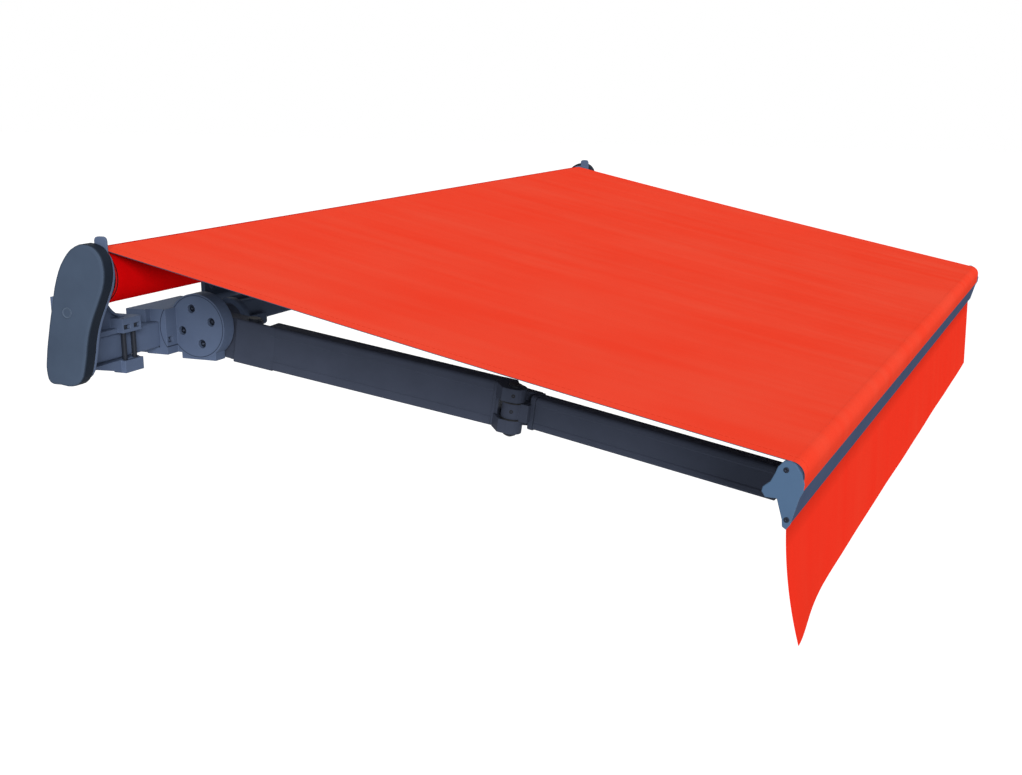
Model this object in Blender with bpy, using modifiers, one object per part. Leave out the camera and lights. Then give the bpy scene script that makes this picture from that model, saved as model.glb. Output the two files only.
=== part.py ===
"""Folding-arm awning: square torsion bar, roller with a wound cloth, two spring arms and a front rail.

Metres, +Z up. X runs along the wall, the wall is the plane y = 0 and the awning stands out towards -Y.
The origin is the middle of the centre wall bracket's back face, at the height of the torsion bar.
Outlines that are given in a section plane are measured from the axis of the torsion bar.
"""
from math import atan2, asin, cos, degrees, hypot, pi, radians, sin, sqrt, tau

import bmesh
import bpy
from mathutils import Matrix, Vector

# Driving sizes
CLOTH_WIDTH = 1.792
CLOTH_THICK = 0.0010
BAR_SIDE = 0.040
BAR_WALL = 0.0025
BAR_CORNER = 0.004
BAR_TO_WALL = 0.038
BAR_SHORT = 0.040
GAP = 0.0004

ROLL_Y = -0.080
ROLL_Z = 0.122
ROLL_RADIUS = 0.0395
TUBE_RADIUS = 0.0350
TUBE_WALL = 0.0014

ARM_X = 0.62
SHOULDER_Y = -0.142
SHOULDER_Z = -0.015
FRONT_Y = -1.030
FRONT_Z = -0.160
ARM_REST_DEG = 1.0
ELBOW_OFFSET = 0.020
REAR_WIDE, REAR_TALL = 0.036, 0.070
FORE_WIDE, FORE_TALL = 0.032, 0.050
ARM_TUBE_WALL = 0.0022
PLUG_LENGTH = 0.032
COLLAR = 0.005

PITCH_Y = -0.072
PITCH_Z = 0.012
DISC_RADIUS = 0.0515
CHEEK_FACE = 0.0482
OUTER_CHEEK_THICK = 0.0253
INNER_CHEEK_THICK = 0.0120
INNER_CHEEK_RADIUS = 0.0320
BARREL_RADIUS = 0.0240
PIN_RADIUS = 0.0060
PITCH_PIN_RADIUS = 0.0080

RAIL_REAR_Y = -1.057
NOSE_Y, NOSE_Z, NOSE_RADIUS = -1.0715, -0.0605, 0.0160
CAP_THICK = 0.0050
VALANCE_DROP = 0.150

PLATE_THICK = 0.0040
COVER_DEPTH = 0.0230
COVER_WALL = 0.0026
CRANK_Y = -0.050
WALL_BRACKET_X = 0.46
WALL_BRACKET_WIDE = 0.090
WALL_PLATE = 0.0080
ROUND = 32

# Sizes that follow from the driving ones
CLOTH_HALF = CLOTH_WIDTH / 2
BAR_HALF = BAR_SIDE / 2
SEAT = BAR_HALF + GAP
FLANGE_THICK = 0.0022
PLATE_IN = CLOTH_HALF + 3 * GAP + FLANGE_THICK + 0.0020
PLATE_OUT = PLATE_IN + PLATE_THICK
BAR_END = PLATE_IN - BAR_SHORT
COVER_IN = PLATE_OUT + GAP
COVER_OUT = COVER_IN + COVER_DEPTH
CRANK_X = COVER_IN + COVER_DEPTH / 2
ARM_SLOPE = atan2(SHOULDER_Z - FRONT_Z, SHOULDER_Y - FRONT_Y)
REACH = hypot(SHOULDER_Y - FRONT_Y, SHOULDER_Z - FRONT_Z)
LINK = REACH / 2 / cos(radians(ARM_REST_DEG))
TUBE_LINE = sqrt(LINK ** 2 - ELBOW_OFFSET ** 2)
TUBE_TURN = radians(ARM_REST_DEG) + asin(ELBOW_OFFSET / LINK)
LUG_LOW = 0.0235
LUG_HIGH = 0.0335
LUG_RADIUS = 0.0135

LEFT, RIGHT = -1, 1
SIDES = ((LEFT, "left"), (RIGHT, "right"))

# The tilts that turn a flat outline, drawn in its own x and y, into a section of the object
SECTION = Matrix(((0, 0, 1, 0), (1, 0, 0, 0), (0, 1, 0, 0), (0, 0, 0, 1)))
FRONT = Matrix(((1, 0, 0, 0), (0, 0, -1, 0), (0, 1, 0, 0), (0, 0, 0, 1)))
PLAN = Matrix.Identity(4)
ALONG_X = Matrix.Rotation(pi / 2, 4, "Y")
ALONG_Y = Matrix.Rotation(-pi / 2, 4, "X")

for old in list(bpy.data.objects):
    bpy.data.objects.remove(old)

parts = bpy.data.collections.new("folding_arm_awning")
cutters = bpy.data.collections.new("cutters")
bpy.context.scene.collection.children.link(parts)
bpy.context.scene.collection.children.link(cutters)


def material(name, colour, roughness, metallic):
    """A Principled material with a linear base colour."""
    made = bpy.data.materials.new(name)
    made.use_nodes = True
    shader = made.node_tree.nodes["Principled BSDF"]
    shader.inputs["Base Color"].default_value = (*colour, 1.0)
    shader.inputs["Roughness"].default_value = roughness
    shader.inputs["Metallic"].default_value = metallic
    return made


CASTING = material("bracket_coating", (0.076, 0.105, 0.195), 0.48, 0.0)
PROFILE = material("arm_coating", (0.032, 0.042, 0.078), 0.42, 0.0)
RAIL = material("rail_coating", (0.060, 0.088, 0.160), 0.40, 0.0)
CAP = material("cap_plastic", (0.091, 0.162, 0.275), 0.50, 0.0)
COVER = material("cover_plastic", (0.065, 0.105, 0.170), 0.45, 0.0)
STEEL = material("zinc_steel", (0.420, 0.430, 0.450), 0.35, 1.0)
TUBE = material("roller_steel", (0.500, 0.510, 0.520), 0.40, 1.0)
CLOTH = material("red_canvas", (0.887, 0.069, 0.033), 0.85, 0.0)
WOUND = material("wound_canvas", (0.400, 0.020, 0.014), 0.85, 0.0)
BLACK = material("black_plastic", (0.020, 0.022, 0.026), 0.55, 0.0)


# Frames that the pieces hang on
def empty(name, matrix, parent=None):
    """A bare frame at a world matrix, on a joint's axis or at the torsion bar."""
    made = bpy.data.objects.new(name, None)
    parts.objects.link(made)
    made.empty_display_size = 0.03
    if parent:
        made.parent = parent
        made.matrix_local = parent.matrix_world.inverted() @ matrix
    else:
        made.matrix_world = matrix
    bpy.context.view_layer.update()
    return made


def arm_frame(x, y, z, turn, inward):
    """World matrix at a pin: local x along the arm, local z up the pin, turned inward from straight out."""
    ahead = Vector((0, -cos(ARM_SLOPE), -sin(ARM_SLOPE)))
    pin = Vector((0, -sin(ARM_SLOPE), cos(ARM_SLOPE)))
    along = ahead * cos(turn) + Vector((inward, 0, 0)) * sin(turn)
    side = pin.cross(along)
    turned = Matrix((along, side, pin)).transposed().to_4x4()
    return Matrix.Translation((x, y - BAR_TO_WALL, z)) @ turned


bar_axis = empty("bar_axis", Matrix.Translation((0, -BAR_TO_WALL, 0)))


# Building blocks
def place(name, mesh, parent, finish, hidden=False):
    """Make an object of a mesh, on its parent, in the collection of parts or of cutters."""
    made = bpy.data.objects.new(name, mesh)
    (cutters if hidden else parts).objects.link(made)
    made.parent = parent
    if hidden:
        made.hide_render = True
        made.display_type = "WIRE"
    else:
        mesh.materials.clear()
        mesh.materials.append(finish)
        mesh.shade_smooth()
        mesh.set_sharp_from_angle(angle=radians(35))
    bpy.context.view_layer.update()
    return made


def extruded(name, loops, low, high, tilt, parent, finish=None, rounded=False):
    """Extrude flat outlines, the outer one first and then the holes, from low to high along the normal."""
    curve = bpy.data.curves.new(name, "CURVE")
    curve.dimensions = "2D"
    curve.fill_mode = "BOTH"
    curve.extrude = (high - low) / 2
    for loop in loops:
        spline = curve.splines.new("BEZIER" if rounded else "POLY")
        points = spline.bezier_points if rounded else spline.points
        points.add(len(loop) - 1)
        for point, (a, b) in zip(points, loop):
            if rounded:
                point.co = (a, b, 0)
                point.handle_left_type = "AUTO"
                point.handle_right_type = "AUTO"
            else:
                point.co = (a, b, 0, 1)
        spline.use_cyclic_u = True
        spline.resolution_u = 3
    holder = bpy.data.objects.new(name + "_outline", curve)
    cutters.objects.link(holder)
    bpy.context.view_layer.update()
    mesh = bpy.data.meshes.new_from_object(holder.evaluated_get(bpy.context.evaluated_depsgraph_get()))
    bpy.data.objects.remove(holder)
    shape = bmesh.new()
    shape.from_mesh(mesh)
    bmesh.ops.remove_doubles(shape, verts=shape.verts, dist=1e-6)
    bmesh.ops.transform(shape, matrix=tilt @ Matrix.Translation((0, 0, (low + high) / 2)), verts=shape.verts)
    bmesh.ops.dissolve_limit(shape, angle_limit=radians(0.5), verts=shape.verts, edges=shape.edges)
    bmesh.ops.recalc_face_normals(shape, faces=shape.faces)
    shape.to_mesh(mesh)
    shape.free()
    mesh.name = name
    return place(name, mesh, parent, finish, finish is None)


def block(name, low, high, parent, finish=None):
    """A box between two corners."""
    shape = bmesh.new()
    bmesh.ops.create_cube(shape, size=1.0)
    low, high = Vector(low), Vector(high)
    size = Matrix.Diagonal((*(high - low), 1.0))
    bmesh.ops.transform(shape, matrix=Matrix.Translation((low + high) / 2) @ size, verts=shape.verts)
    bmesh.ops.recalc_face_normals(shape, faces=shape.faces)
    mesh = bpy.data.meshes.new(name)
    shape.to_mesh(mesh)
    shape.free()
    return place(name, mesh, parent, finish, finish is None)


def cylinder(name, radius, low, high, tilt, parent, finish=None, segments=ROUND, centre=(0, 0, 0)):
    """A round bar from low to high along the tilted z axis."""
    shape = bmesh.new()
    bmesh.ops.create_cone(shape, cap_ends=True, segments=segments, radius1=radius, radius2=radius, depth=high - low)
    move = Matrix.Translation(centre) @ tilt @ Matrix.Translation((0, 0, (low + high) / 2))
    bmesh.ops.transform(shape, matrix=move, verts=shape.verts)
    bmesh.ops.recalc_face_normals(shape, faces=shape.faces)
    mesh = bpy.data.meshes.new(name)
    shape.to_mesh(mesh)
    shape.free()
    return place(name, mesh, parent, finish, finish is None)


def turned(name, profile, tilt, parent, finish, segments=ROUND, centre=(0, 0, 0)):
    """Turn a profile of (radius, height) points, top to bottom down the outer side, about the tilted z axis."""
    mesh = bpy.data.meshes.new(name)
    points = [(radius, 0.0, height) for radius, height in profile]
    mesh.from_pydata(points, [(i, i + 1) for i in range(len(points) - 1)], [])
    made = bpy.data.objects.new(name, mesh)
    cutters.objects.link(made)
    spin = made.modifiers.new("turn", "SCREW")
    spin.steps = segments
    spin.render_steps = segments
    spin.use_merge_vertices = True
    spin.merge_threshold = 0.00001
    bpy.context.view_layer.update()
    solid = bpy.data.meshes.new_from_object(made.evaluated_get(bpy.context.evaluated_depsgraph_get()))
    bpy.data.objects.remove(made)
    shape = bmesh.new()
    shape.from_mesh(solid)
    bmesh.ops.remove_doubles(shape, verts=shape.verts, dist=1e-6)
    bmesh.ops.transform(shape, matrix=Matrix.Translation(centre) @ tilt, verts=shape.verts)
    bmesh.ops.recalc_face_normals(shape, faces=shape.faces)
    shape.to_mesh(solid)
    shape.free()
    solid.name = name
    return place(name, solid, parent, finish, finish is None)


def combine(target, others, operation):
    """Add to a piece, or cut from it, each of the other shapes."""
    for other in others:
        change = target.modifiers.new(other.name, "BOOLEAN")
        change.operation = operation
        change.solver = "EXACT"
        change.object = other
    return target


def add(target, *others):
    return combine(target, others, "UNION")


def cut(target, *others):
    return combine(target, others, "DIFFERENCE")


def soften(target, width, segments=2):
    """Round the sharp edges of a piece."""
    edge = target.modifiers.new("edge", "BEVEL")
    edge.width = width
    edge.segments = segments
    edge.limit_method = "ANGLE"
    edge.angle_limit = radians(50)
    edge.harden_normals = False
    return target


# Outlines
def on_circle(centre, radius, angle):
    """The point of a circle at an angle in degrees."""
    return (centre[0] + radius * cos(radians(angle)), centre[1] + radius * sin(radians(angle)))


def arc(centre, radius, start, end, steps):
    """Points on an arc, angles in degrees."""
    return [on_circle(centre, radius, start + (end - start) * i / steps) for i in range(steps + 1)]


def rounded_box(wide, tall, corner, centre=(0, 0), steps=3):
    """A rectangle with round corners."""
    points = []
    for turn, (sx, sy) in enumerate(((1, 1), (-1, 1), (-1, -1), (1, -1))):
        middle = (centre[0] + sx * (wide / 2 - corner), centre[1] + sy * (tall / 2 - corner))
        points += arc(middle, corner, turn * 90, turn * 90 + 90, steps)
    return points


def rectangle(a_low, b_low, a_high, b_high):
    return [(a_low, b_low), (a_high, b_low), (a_high, b_high), (a_low, b_high)]


def scaled(points, factor):
    """The same outline, drawn in towards its middle."""
    a = sum(point[0] for point in points) / len(points)
    b = sum(point[1] for point in points) / len(points)
    return [(a + (p - a) * factor, b + (q - b) * factor) for p, q in points]


def between(low, high, side):
    """A stretch of the width on one side of the awning, low to high as the extrusion wants it."""
    return (low, high) if side == RIGHT else (-high, -low)


# Torsion bar and its end plugs
def torsion_bar():
    outer = rounded_box(BAR_SIDE, BAR_SIDE, BAR_CORNER)
    bore = BAR_SIDE - 2 * BAR_WALL
    inner = rounded_box(bore, bore, BAR_CORNER - BAR_WALL + 0.0005, steps=2)
    extruded("torsion_bar", [outer, inner], -BAR_END, BAR_END, SECTION, bar_axis, CASTING)
    for side, word in SIDES:
        body = BAR_SIDE - 2 * BAR_WALL - 2 * GAP
        plug = extruded(f"bar_plug_{word}", [rounded_box(body, body, 0.0015, steps=1)],
                        *between(BAR_END - 0.028, BAR_END + GAP + 0.0015, side), SECTION, bar_axis, BLACK)
        lid = extruded(f"plug_lid_{word}", [rounded_box(BAR_SIDE, BAR_SIDE, BAR_CORNER, steps=2)],
                       *between(BAR_END + GAP, BAR_END + GAP + 0.0030, side), SECTION, bar_axis)
        add(plug, lid)


# Wall brackets: a plate on the wall with a hook that carries the bar
def wall_bracket(name, x):
    back = BAR_TO_WALL
    shelf = 0.0080
    lip_front = -SEAT - shelf
    outline = [
        (back, -0.062), (back, 0.062), (back - WALL_PLATE, 0.062), (back - WALL_PLATE, SEAT + shelf),
        (-0.006, SEAT + shelf), (-0.006, SEAT), (SEAT, SEAT), (SEAT, -SEAT), (-SEAT, -SEAT),
        (-SEAT, -0.008), (lip_front, -0.008), (lip_front, -SEAT - shelf + 0.004),
        (lip_front + 0.004, -SEAT - shelf), (back - WALL_PLATE, -SEAT - shelf), (back - WALL_PLATE, -0.062),
    ]
    half = WALL_BRACKET_WIDE / 2
    bracket = extruded(name, [outline], x - half, x + half, SECTION, bar_axis, CASTING)
    for index, z in enumerate((-0.046, 0.046)):
        for index_x, offset in enumerate((-0.028, 0.028)):
            hole = cylinder(f"{name}_hole_{index}_{index_x}", 0.0055, -0.02, 0.02, ALONG_Y, bar_axis,
                            segments=12, centre=(x + offset, back - WALL_PLATE / 2, z))
            cut(bracket, hole)


# Roller brackets: end plate, rib and clamp block in one casting, with a lower jaw and two bolts
COVER_OUTLINE = [
    (-0.0980, 0.1700), (-0.1150, 0.1600), (-0.1220, 0.1420), (-0.1205, 0.1180), (-0.1105, 0.0935),
    (-0.0970, 0.0665), (-0.0870, 0.0400), (-0.0780, 0.0000), (-0.0680, -0.0240), (-0.0500, -0.0320),
    (-0.0300, -0.0310), (-0.0140, -0.0290), (-0.0085, -0.0130), (-0.0100, 0.0060), (-0.0175, 0.0430),
    (-0.0275, 0.0820), (-0.0390, 0.1210), (-0.0550, 0.1500), (-0.0740, 0.1665),
]
CLAMP_OUT, CLAMP_IN = 0.7955, 0.7545
CLAMP_LENGTH_OUT = 0.852
CLAMP_TOP = 0.042
CLAMP_FRONT = -0.037
CLAMP_WALL = 0.006
JAW_LOW = -0.040
FOOT_TOP = -0.0215
BOLT_Y = -0.0285
BOLT_XS = (0.7640, 0.7860)
BOLT_RADIUS = 0.0038
HEAD_RADIUS = 0.0050
HEAD_TALL = 0.0062
NUT_LOW, NUT_HIGH = 0.0260, 0.0320
RIB_FRONT, RIB_BACK = -0.014, -0.006
RIB_HIGH = 0.090
SADDLE_RADIUS = 0.050
TAB_TOP = 0.1790


def roller_bracket(side, word):
    plate = extruded(f"roller_bracket_{word}", [scaled(COVER_OUTLINE, 0.945)],
                     *between(PLATE_IN, PLATE_OUT, side), SECTION, bar_axis, CASTING, rounded=True)
    pad = between(PLATE_IN + 0.0003, PLATE_OUT - 0.0003, side)
    tab = extruded(f"bracket_tab_{word}", [rounded_box(0.020, 0.040, 0.006, (-0.101, TAB_TOP - 0.020))], *pad,
                   SECTION, bar_axis)
    heel = extruded(f"bracket_heel_{word}", [rectangle(-0.050, -0.022, RIB_BACK, RIB_HIGH)], *pad, SECTION, bar_axis)
    inner = between(CLAMP_IN, CLAMP_LENGTH_OUT, side)
    top = extruded(f"bracket_top_{word}", [rectangle(CLAMP_FRONT + 0.010, SEAT, SEAT + CLAMP_WALL, SEAT + 0.007)],
                   *inner, SECTION, bar_axis)
    rear = extruded(f"bracket_rear_{word}", [rectangle(SEAT, -0.014, SEAT + CLAMP_WALL, SEAT + 0.0069)],
                    *inner, SECTION, bar_axis)
    head = extruded(f"bracket_head_{word}", [rectangle(CLAMP_FRONT, SEAT, SEAT + CLAMP_WALL, CLAMP_TOP)],
                    *between(CLAMP_IN, CLAMP_OUT, side), SECTION, bar_axis)
    curve = arc((CLAMP_IN + 0.010, CLAMP_TOP + SADDLE_RADIUS), SADDLE_RADIUS, 270, 325, 8)
    web = [(CLAMP_IN + 0.010, SEAT + 0.001)] + curve
    web += [(PLATE_IN - 0.020, RIB_HIGH), (PLATE_IN + 0.001, RIB_HIGH), (PLATE_IN + 0.001, SEAT + 0.001)]
    rib = extruded(f"bracket_rib_{word}", [[(side * x, z) for x, z in web]], -RIB_BACK, -RIB_FRONT, FRONT, bar_axis)
    under = arc((CLAMP_IN + 0.010, CLAMP_TOP + SADDLE_RADIUS), SADDLE_RADIUS + 0.003, 325, 270, 8)
    flange = extruded(f"bracket_flange_{word}", [[(side * x, z) for x, z in curve + under]],
                      -0.012, -RIB_FRONT + 0.008, FRONT, bar_axis)
    add(plate, heel, tab, top, rear, head, rib, flange)
    axle = cylinder(f"bracket_bore_{word}", PIN_RADIUS + GAP, -0.02, 0.02, ALONG_X, bar_axis,
                    segments=24, centre=(side * PLATE_IN, ROLL_Y, ROLL_Z))
    cut(plate, axle)
    for index, x in enumerate(BOLT_XS):
        window = block(f"bracket_window_{word}_{index}", (side * x - 0.0070, CLAMP_FRONT - 0.01, NUT_LOW - GAP),
                       (side * x + 0.0070, BOLT_Y + 0.0070, NUT_HIGH + GAP), bar_axis)
        shank = cylinder(f"bracket_shank_{word}_{index}", BOLT_RADIUS + GAP, -0.06, NUT_HIGH + 0.003, PLAN, bar_axis,
                         segments=16, centre=(side * x, BOLT_Y, 0))
        cut(plate, window, shank)


def roller_clamp(side, word):
    """The lower jaw: a wedge under the bar, a lip behind it and a foot in front that takes the two bolts."""
    wedge = [
        (CLAMP_IN, JAW_LOW + 0.002), (CLAMP_OUT, JAW_LOW + 0.002), (CLAMP_LENGTH_OUT, -SEAT - 0.004),
        (CLAMP_LENGTH_OUT, -SEAT), (CLAMP_IN, -SEAT),
    ]
    jaw = extruded(f"roller_clamp_{word}", [[(side * x, z) for x, z in wedge]], -SEAT - CLAMP_WALL, 0.029, FRONT,
                   bar_axis, CASTING)
    foot = extruded(f"clamp_foot_{word}", [rectangle(CLAMP_FRONT, JAW_LOW, -0.015, FOOT_TOP)],
                    *between(CLAMP_IN + 0.0005, CLAMP_OUT, side), SECTION, bar_axis)
    lip = extruded(f"clamp_lip_{word}", [rectangle(SEAT, -SEAT - 0.002, SEAT + CLAMP_WALL - 0.0005, -0.016)],
                   *between(CLAMP_IN + 0.001, CLAMP_LENGTH_OUT - 0.001, side), SECTION, bar_axis)
    add(jaw, foot, lip)
    for index, x in enumerate(BOLT_XS):
        at = (side * x, BOLT_Y, 0)
        shank = cylinder(f"clamp_shank_{word}_{index}", BOLT_RADIUS + GAP, -0.06, 0.0, PLAN, bar_axis, segments=16,
                         centre=at)
        recess = cylinder(f"clamp_recess_{word}_{index}", HEAD_RADIUS + GAP, JAW_LOW - 0.010, JAW_LOW + HEAD_TALL, PLAN,
                          bar_axis, segments=16, centre=at)
        cut(jaw, shank, recess)
        head_top = JAW_LOW + HEAD_TALL - GAP
        bolt = cylinder(f"clamp_bolt_{word}_{index + 1}", BOLT_RADIUS, head_top - 0.002, NUT_HIGH + 0.002, PLAN,
                        bar_axis, STEEL, segments=12, centre=at)
        head = cylinder(f"bolt_head_{word}_{index}", HEAD_RADIUS, JAW_LOW + GAP, head_top, PLAN, bar_axis,
                        segments=12, centre=at)
        nut = cylinder(f"bolt_nut_{word}_{index}", 0.0064, NUT_LOW, NUT_HIGH, PLAN, bar_axis, segments=6, centre=at)
        add(bolt, head, nut)


# End covers: a moulded shell over each roller bracket, with the crank's way out on the right
def end_cover(side, word):
    shell = extruded(f"end_cover_{word}", [COVER_OUTLINE], *between(COVER_IN, COVER_OUT, side), SECTION,
                     bar_axis, COVER, rounded=True)
    soften(shell, 0.0045, 2)
    hollow = extruded(f"cover_hollow_{word}", [scaled(COVER_OUTLINE, 0.93)],
                      *between(COVER_IN - 0.01, COVER_OUT - COVER_WALL, side), SECTION, bar_axis, rounded=True)
    cut(shell, hollow)
    if side == RIGHT:
        way = cylinder("cover_crank_way", 0.0085, -0.060, 0.0, PLAN, bar_axis, segments=20,
                       centre=(CRANK_X, CRANK_Y, 0))
        cut(shell, way)


# Roller: steel tube, an end plug on each side and the wound cloth
def roller(axis_frame):
    end = CLOTH_HALF + GAP
    turned("roller_tube", [
        (TUBE_RADIUS - TUBE_WALL, end), (TUBE_RADIUS - GAP, end), (TUBE_RADIUS - GAP, -end),
        (TUBE_RADIUS - TUBE_WALL, -end), (TUBE_RADIUS - TUBE_WALL, end),
    ], ALONG_X, axis_frame, TUBE)
    inside = TUBE_RADIUS - TUBE_WALL - GAP
    flange_in = end + GAP
    flange_out = flange_in + FLANGE_THICK
    pin_out = PLATE_OUT + 0.008
    for side, word in SIDES:
        tilt = ALONG_X if side == RIGHT else ALONG_X @ Matrix.Rotation(pi, 4, "X")
        turned(f"roller_plug_{word}", [
            (0.0, pin_out), (PIN_RADIUS, pin_out), (PIN_RADIUS, flange_out), (TUBE_RADIUS, flange_out),
            (TUBE_RADIUS, flange_in), (inside, flange_in), (inside, end - 0.030), (0.0, end - 0.030),
        ], tilt, axis_frame, BLACK)
    # The outer turn is a spiral that steps down by the cloth's thickness where the cloth leaves it
    step = CLOTH_THICK + GAP
    leave = 90 + degrees(canopy_slope())
    steps = 40
    spiral = [on_circle((0, 0), ROLL_RADIUS - step * i / steps, leave + 360 * i / steps) for i in range(steps + 1)]
    extruded("fabric_roll", [spiral, arc((0, 0), TUBE_RADIUS, 0, 360 - 360 / ROUND, ROUND - 1)],
             -CLOTH_HALF, CLOTH_HALF, SECTION, axis_frame, WOUND)


NOSE_END = 205


# Canopy: one taut sheet from the top of the roll to the nose of the front rail, and round it into its groove
def canopy_slope():
    """Fall of the cloth, as the outer tangent of the roll and of the rail's nose, in radians."""
    across = ROLL_Y - NOSE_Y
    drop = ROLL_Z - NOSE_Z
    return atan2(drop, across) + asin((ROLL_RADIUS - NOSE_RADIUS) / hypot(across, drop))


def canopy(parent):
    top = 90 + degrees(canopy_slope())
    low_radius = NOSE_RADIUS + GAP
    high_radius = low_radius + CLOTH_THICK
    roll = (ROLL_Y, ROLL_Z)
    nose = (NOSE_Y, NOSE_Z)
    upper = [on_circle(roll, ROLL_RADIUS + GAP + CLOTH_THICK, top)] + arc(nose, high_radius, top, NOSE_END, 7)
    lower = arc(nose, low_radius, NOSE_END, top, 7) + [on_circle(roll, ROLL_RADIUS + GAP, top)]
    extruded("canopy", [upper + lower], -CLOTH_HALF, CLOTH_HALF, SECTION, parent, CLOTH)


# Shoulder bracket: a casting hooked over the bar, with two round cheeks that hold the tilting knuckle
OUTER_CHEEK_IN = CHEEK_FACE - OUTER_CHEEK_THICK
INNER_CHEEK_IN = CHEEK_FACE - INNER_CHEEK_THICK
SHOULDER_WALL = 0.0140
SHOULDER_TOP = SEAT + 0.020
SHOULDER_LOW = -0.031
SHOULDER_REACH = 0.026
FLANGE_REACH = 0.0375
FOOT_LOW = -0.041
HOLE_CIRCLE = 0.0285
HOLE_RADIUS = 0.0070


def shoulder_bracket(side, word):
    front = -SEAT - SHOULDER_WALL
    back = SEAT + 0.010
    hook = [
        (front, SHOULDER_LOW), (front, SHOULDER_TOP), (back, SHOULDER_TOP), (back, 0.010), (SEAT, 0.010),
        (SEAT, SEAT), (-SEAT, SEAT), (-SEAT, -SEAT), (0.004, -SEAT), (0.004, SHOULDER_LOW),
    ]
    face = ARM_X + CHEEK_FACE
    inner = ARM_X - CHEEK_FACE
    body = extruded(f"shoulder_bracket_{word}", [hook], *between(inner, face + SHOULDER_REACH, side), SECTION,
                    bar_axis, CASTING)
    flange = extruded(f"shoulder_flange_{word}", [rectangle(-0.006, SEAT, back, SHOULDER_TOP)],
                      *between(face, face + FLANGE_REACH, side), SECTION, bar_axis)
    add(body, flange)
    outer_stretch = between(ARM_X + OUTER_CHEEK_IN, face, side)
    inner_stretch = between(inner, ARM_X - INNER_CHEEK_IN, side)
    for index, (stretch, radius) in enumerate(((outer_stretch, DISC_RADIUS), (inner_stretch, INNER_CHEEK_RADIUS))):
        cheek = cylinder(f"cheek_disc_{word}_{index}", radius, *stretch, ALONG_X, bar_axis, segments=40,
                         centre=(0, PITCH_Y, PITCH_Z))
        neck = extruded(f"cheek_neck_{word}_{index}", [rectangle(
            PITCH_Y, max(SHOULDER_LOW, PITCH_Z - radius), front + 0.010, min(SHOULDER_TOP, PITCH_Z + radius))],
            *stretch, SECTION, bar_axis)
        add(body, cheek, neck)
    foot = extruded(f"cheek_foot_{word}", [rectangle(-0.1035, FOOT_LOW, front - 0.006, -0.018)],
                    *between(ARM_X + OUTER_CHEEK_IN, face - 0.0015, side), SECTION, bar_axis)
    add(body, foot)
    for index in range(4):
        at = on_circle((PITCH_Y, PITCH_Z), HOLE_CIRCLE, 163 - 90 * index)
        hole = cylinder(f"cheek_hole_{word}_{index}", HOLE_RADIUS, *between(face - 0.008, face + 0.01, side), ALONG_X,
                        bar_axis, segments=20, centre=(0, *at))
        cut(body, hole)
    bore = cylinder(f"cheek_bore_{word}", PITCH_PIN_RADIUS + GAP,
                    *between(inner - 0.01, ARM_X + OUTER_CHEEK_IN + 0.009, side), ALONG_X, bar_axis,
                    segments=24, centre=(0, PITCH_Y, PITCH_Z))
    pocket = block(f"shoulder_pocket_{word}", (side * (face + 0.0165) - 0.0055, front - 0.01, -0.0125),
                   (side * (face + 0.0165) + 0.0055, front + 0.008, -0.0035), bar_axis)
    cut(body, bore, pocket)


def shoulder_clamp(side, word):
    """The loose jaw that grips the bar from behind and below."""
    low = SHOULDER_LOW
    outline = [
        (0.004 + GAP, low), (SEAT + 0.010, low), (SEAT + 0.010, 0.010 - GAP),
        (SEAT, 0.010 - GAP), (SEAT, -SEAT), (0.004 + GAP, -SEAT),
    ]
    outer = ARM_X + CHEEK_FACE + SHOULDER_REACH - 0.004
    inner = ARM_X - CHEEK_FACE + 0.004
    jaw = extruded(f"shoulder_clamp_{word}", [outline], *between(inner, outer, side), SECTION, bar_axis, CASTING)
    soften(jaw, 0.001, 1)


def pitch_pin(side, word, parent):
    """The pin that the knuckle tilts on: its head is outside the inner cheek, its end blind in the outer one."""
    head = 0.0055
    low = ARM_X - CHEEK_FACE - head
    high = ARM_X + OUTER_CHEEK_IN + 0.0085
    tilt = ALONG_X if side == RIGHT else ALONG_X @ Matrix.Rotation(pi, 4, "X")
    turned(f"pitch_pin_{word}", [
        (0.0, high), (PITCH_PIN_RADIUS - 0.001, high), (PITCH_PIN_RADIUS, high - 0.001),
        (PITCH_PIN_RADIUS, low + head - GAP), (0.0125, low + head - GAP), (0.0125, low + 0.001),
        (0.0115, low), (0.0, low),
    ], tilt, parent, STEEL, 24, (0, PITCH_Y, PITCH_Z))


WEB_SIDE = LUG_RADIUS - 0.0004


# Tilting knuckle between the cheeks, with two lugs for the shoulder pin
def pitch_knuckle(side, word, pitch_frame, shoulder_frame):
    barrel = cylinder(f"pitch_knuckle_{word}", BARREL_RADIUS,
                      *between(GAP - INNER_CHEEK_IN, OUTER_CHEEK_IN - GAP, side), ALONG_X, pitch_frame, CASTING)
    step_back = hypot(SHOULDER_Y - PITCH_Y, SHOULDER_Z - PITCH_Z)
    web = block(f"knuckle_web_{word}", (-step_back, -WEB_SIDE, -LUG_HIGH + 0.0002),
                (-0.0225, WEB_SIDE, LUG_HIGH - 0.0002), shoulder_frame)
    add(barrel, web)
    for index, level in enumerate((LUG_LOW, -LUG_HIGH)):
        lug = [(-0.030, -LUG_RADIUS)] + arc((0, 0), LUG_RADIUS, -90, 90, 10) + [(-0.030, LUG_RADIUS)]
        ear = extruded(f"knuckle_lug_{word}_{index}", [lug], level, level + LUG_HIGH - LUG_LOW, PLAN, shoulder_frame)
        add(barrel, ear)
    pin = cylinder(f"knuckle_bore_{word}", PIN_RADIUS + GAP, -0.05, 0.05, PLAN, shoulder_frame, segments=24)
    axle = cylinder(f"knuckle_axle_{word}", PITCH_PIN_RADIUS + GAP, -0.05, 0.05, ALONG_X, pitch_frame, segments=24)
    cut(barrel, pin, axle)


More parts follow.
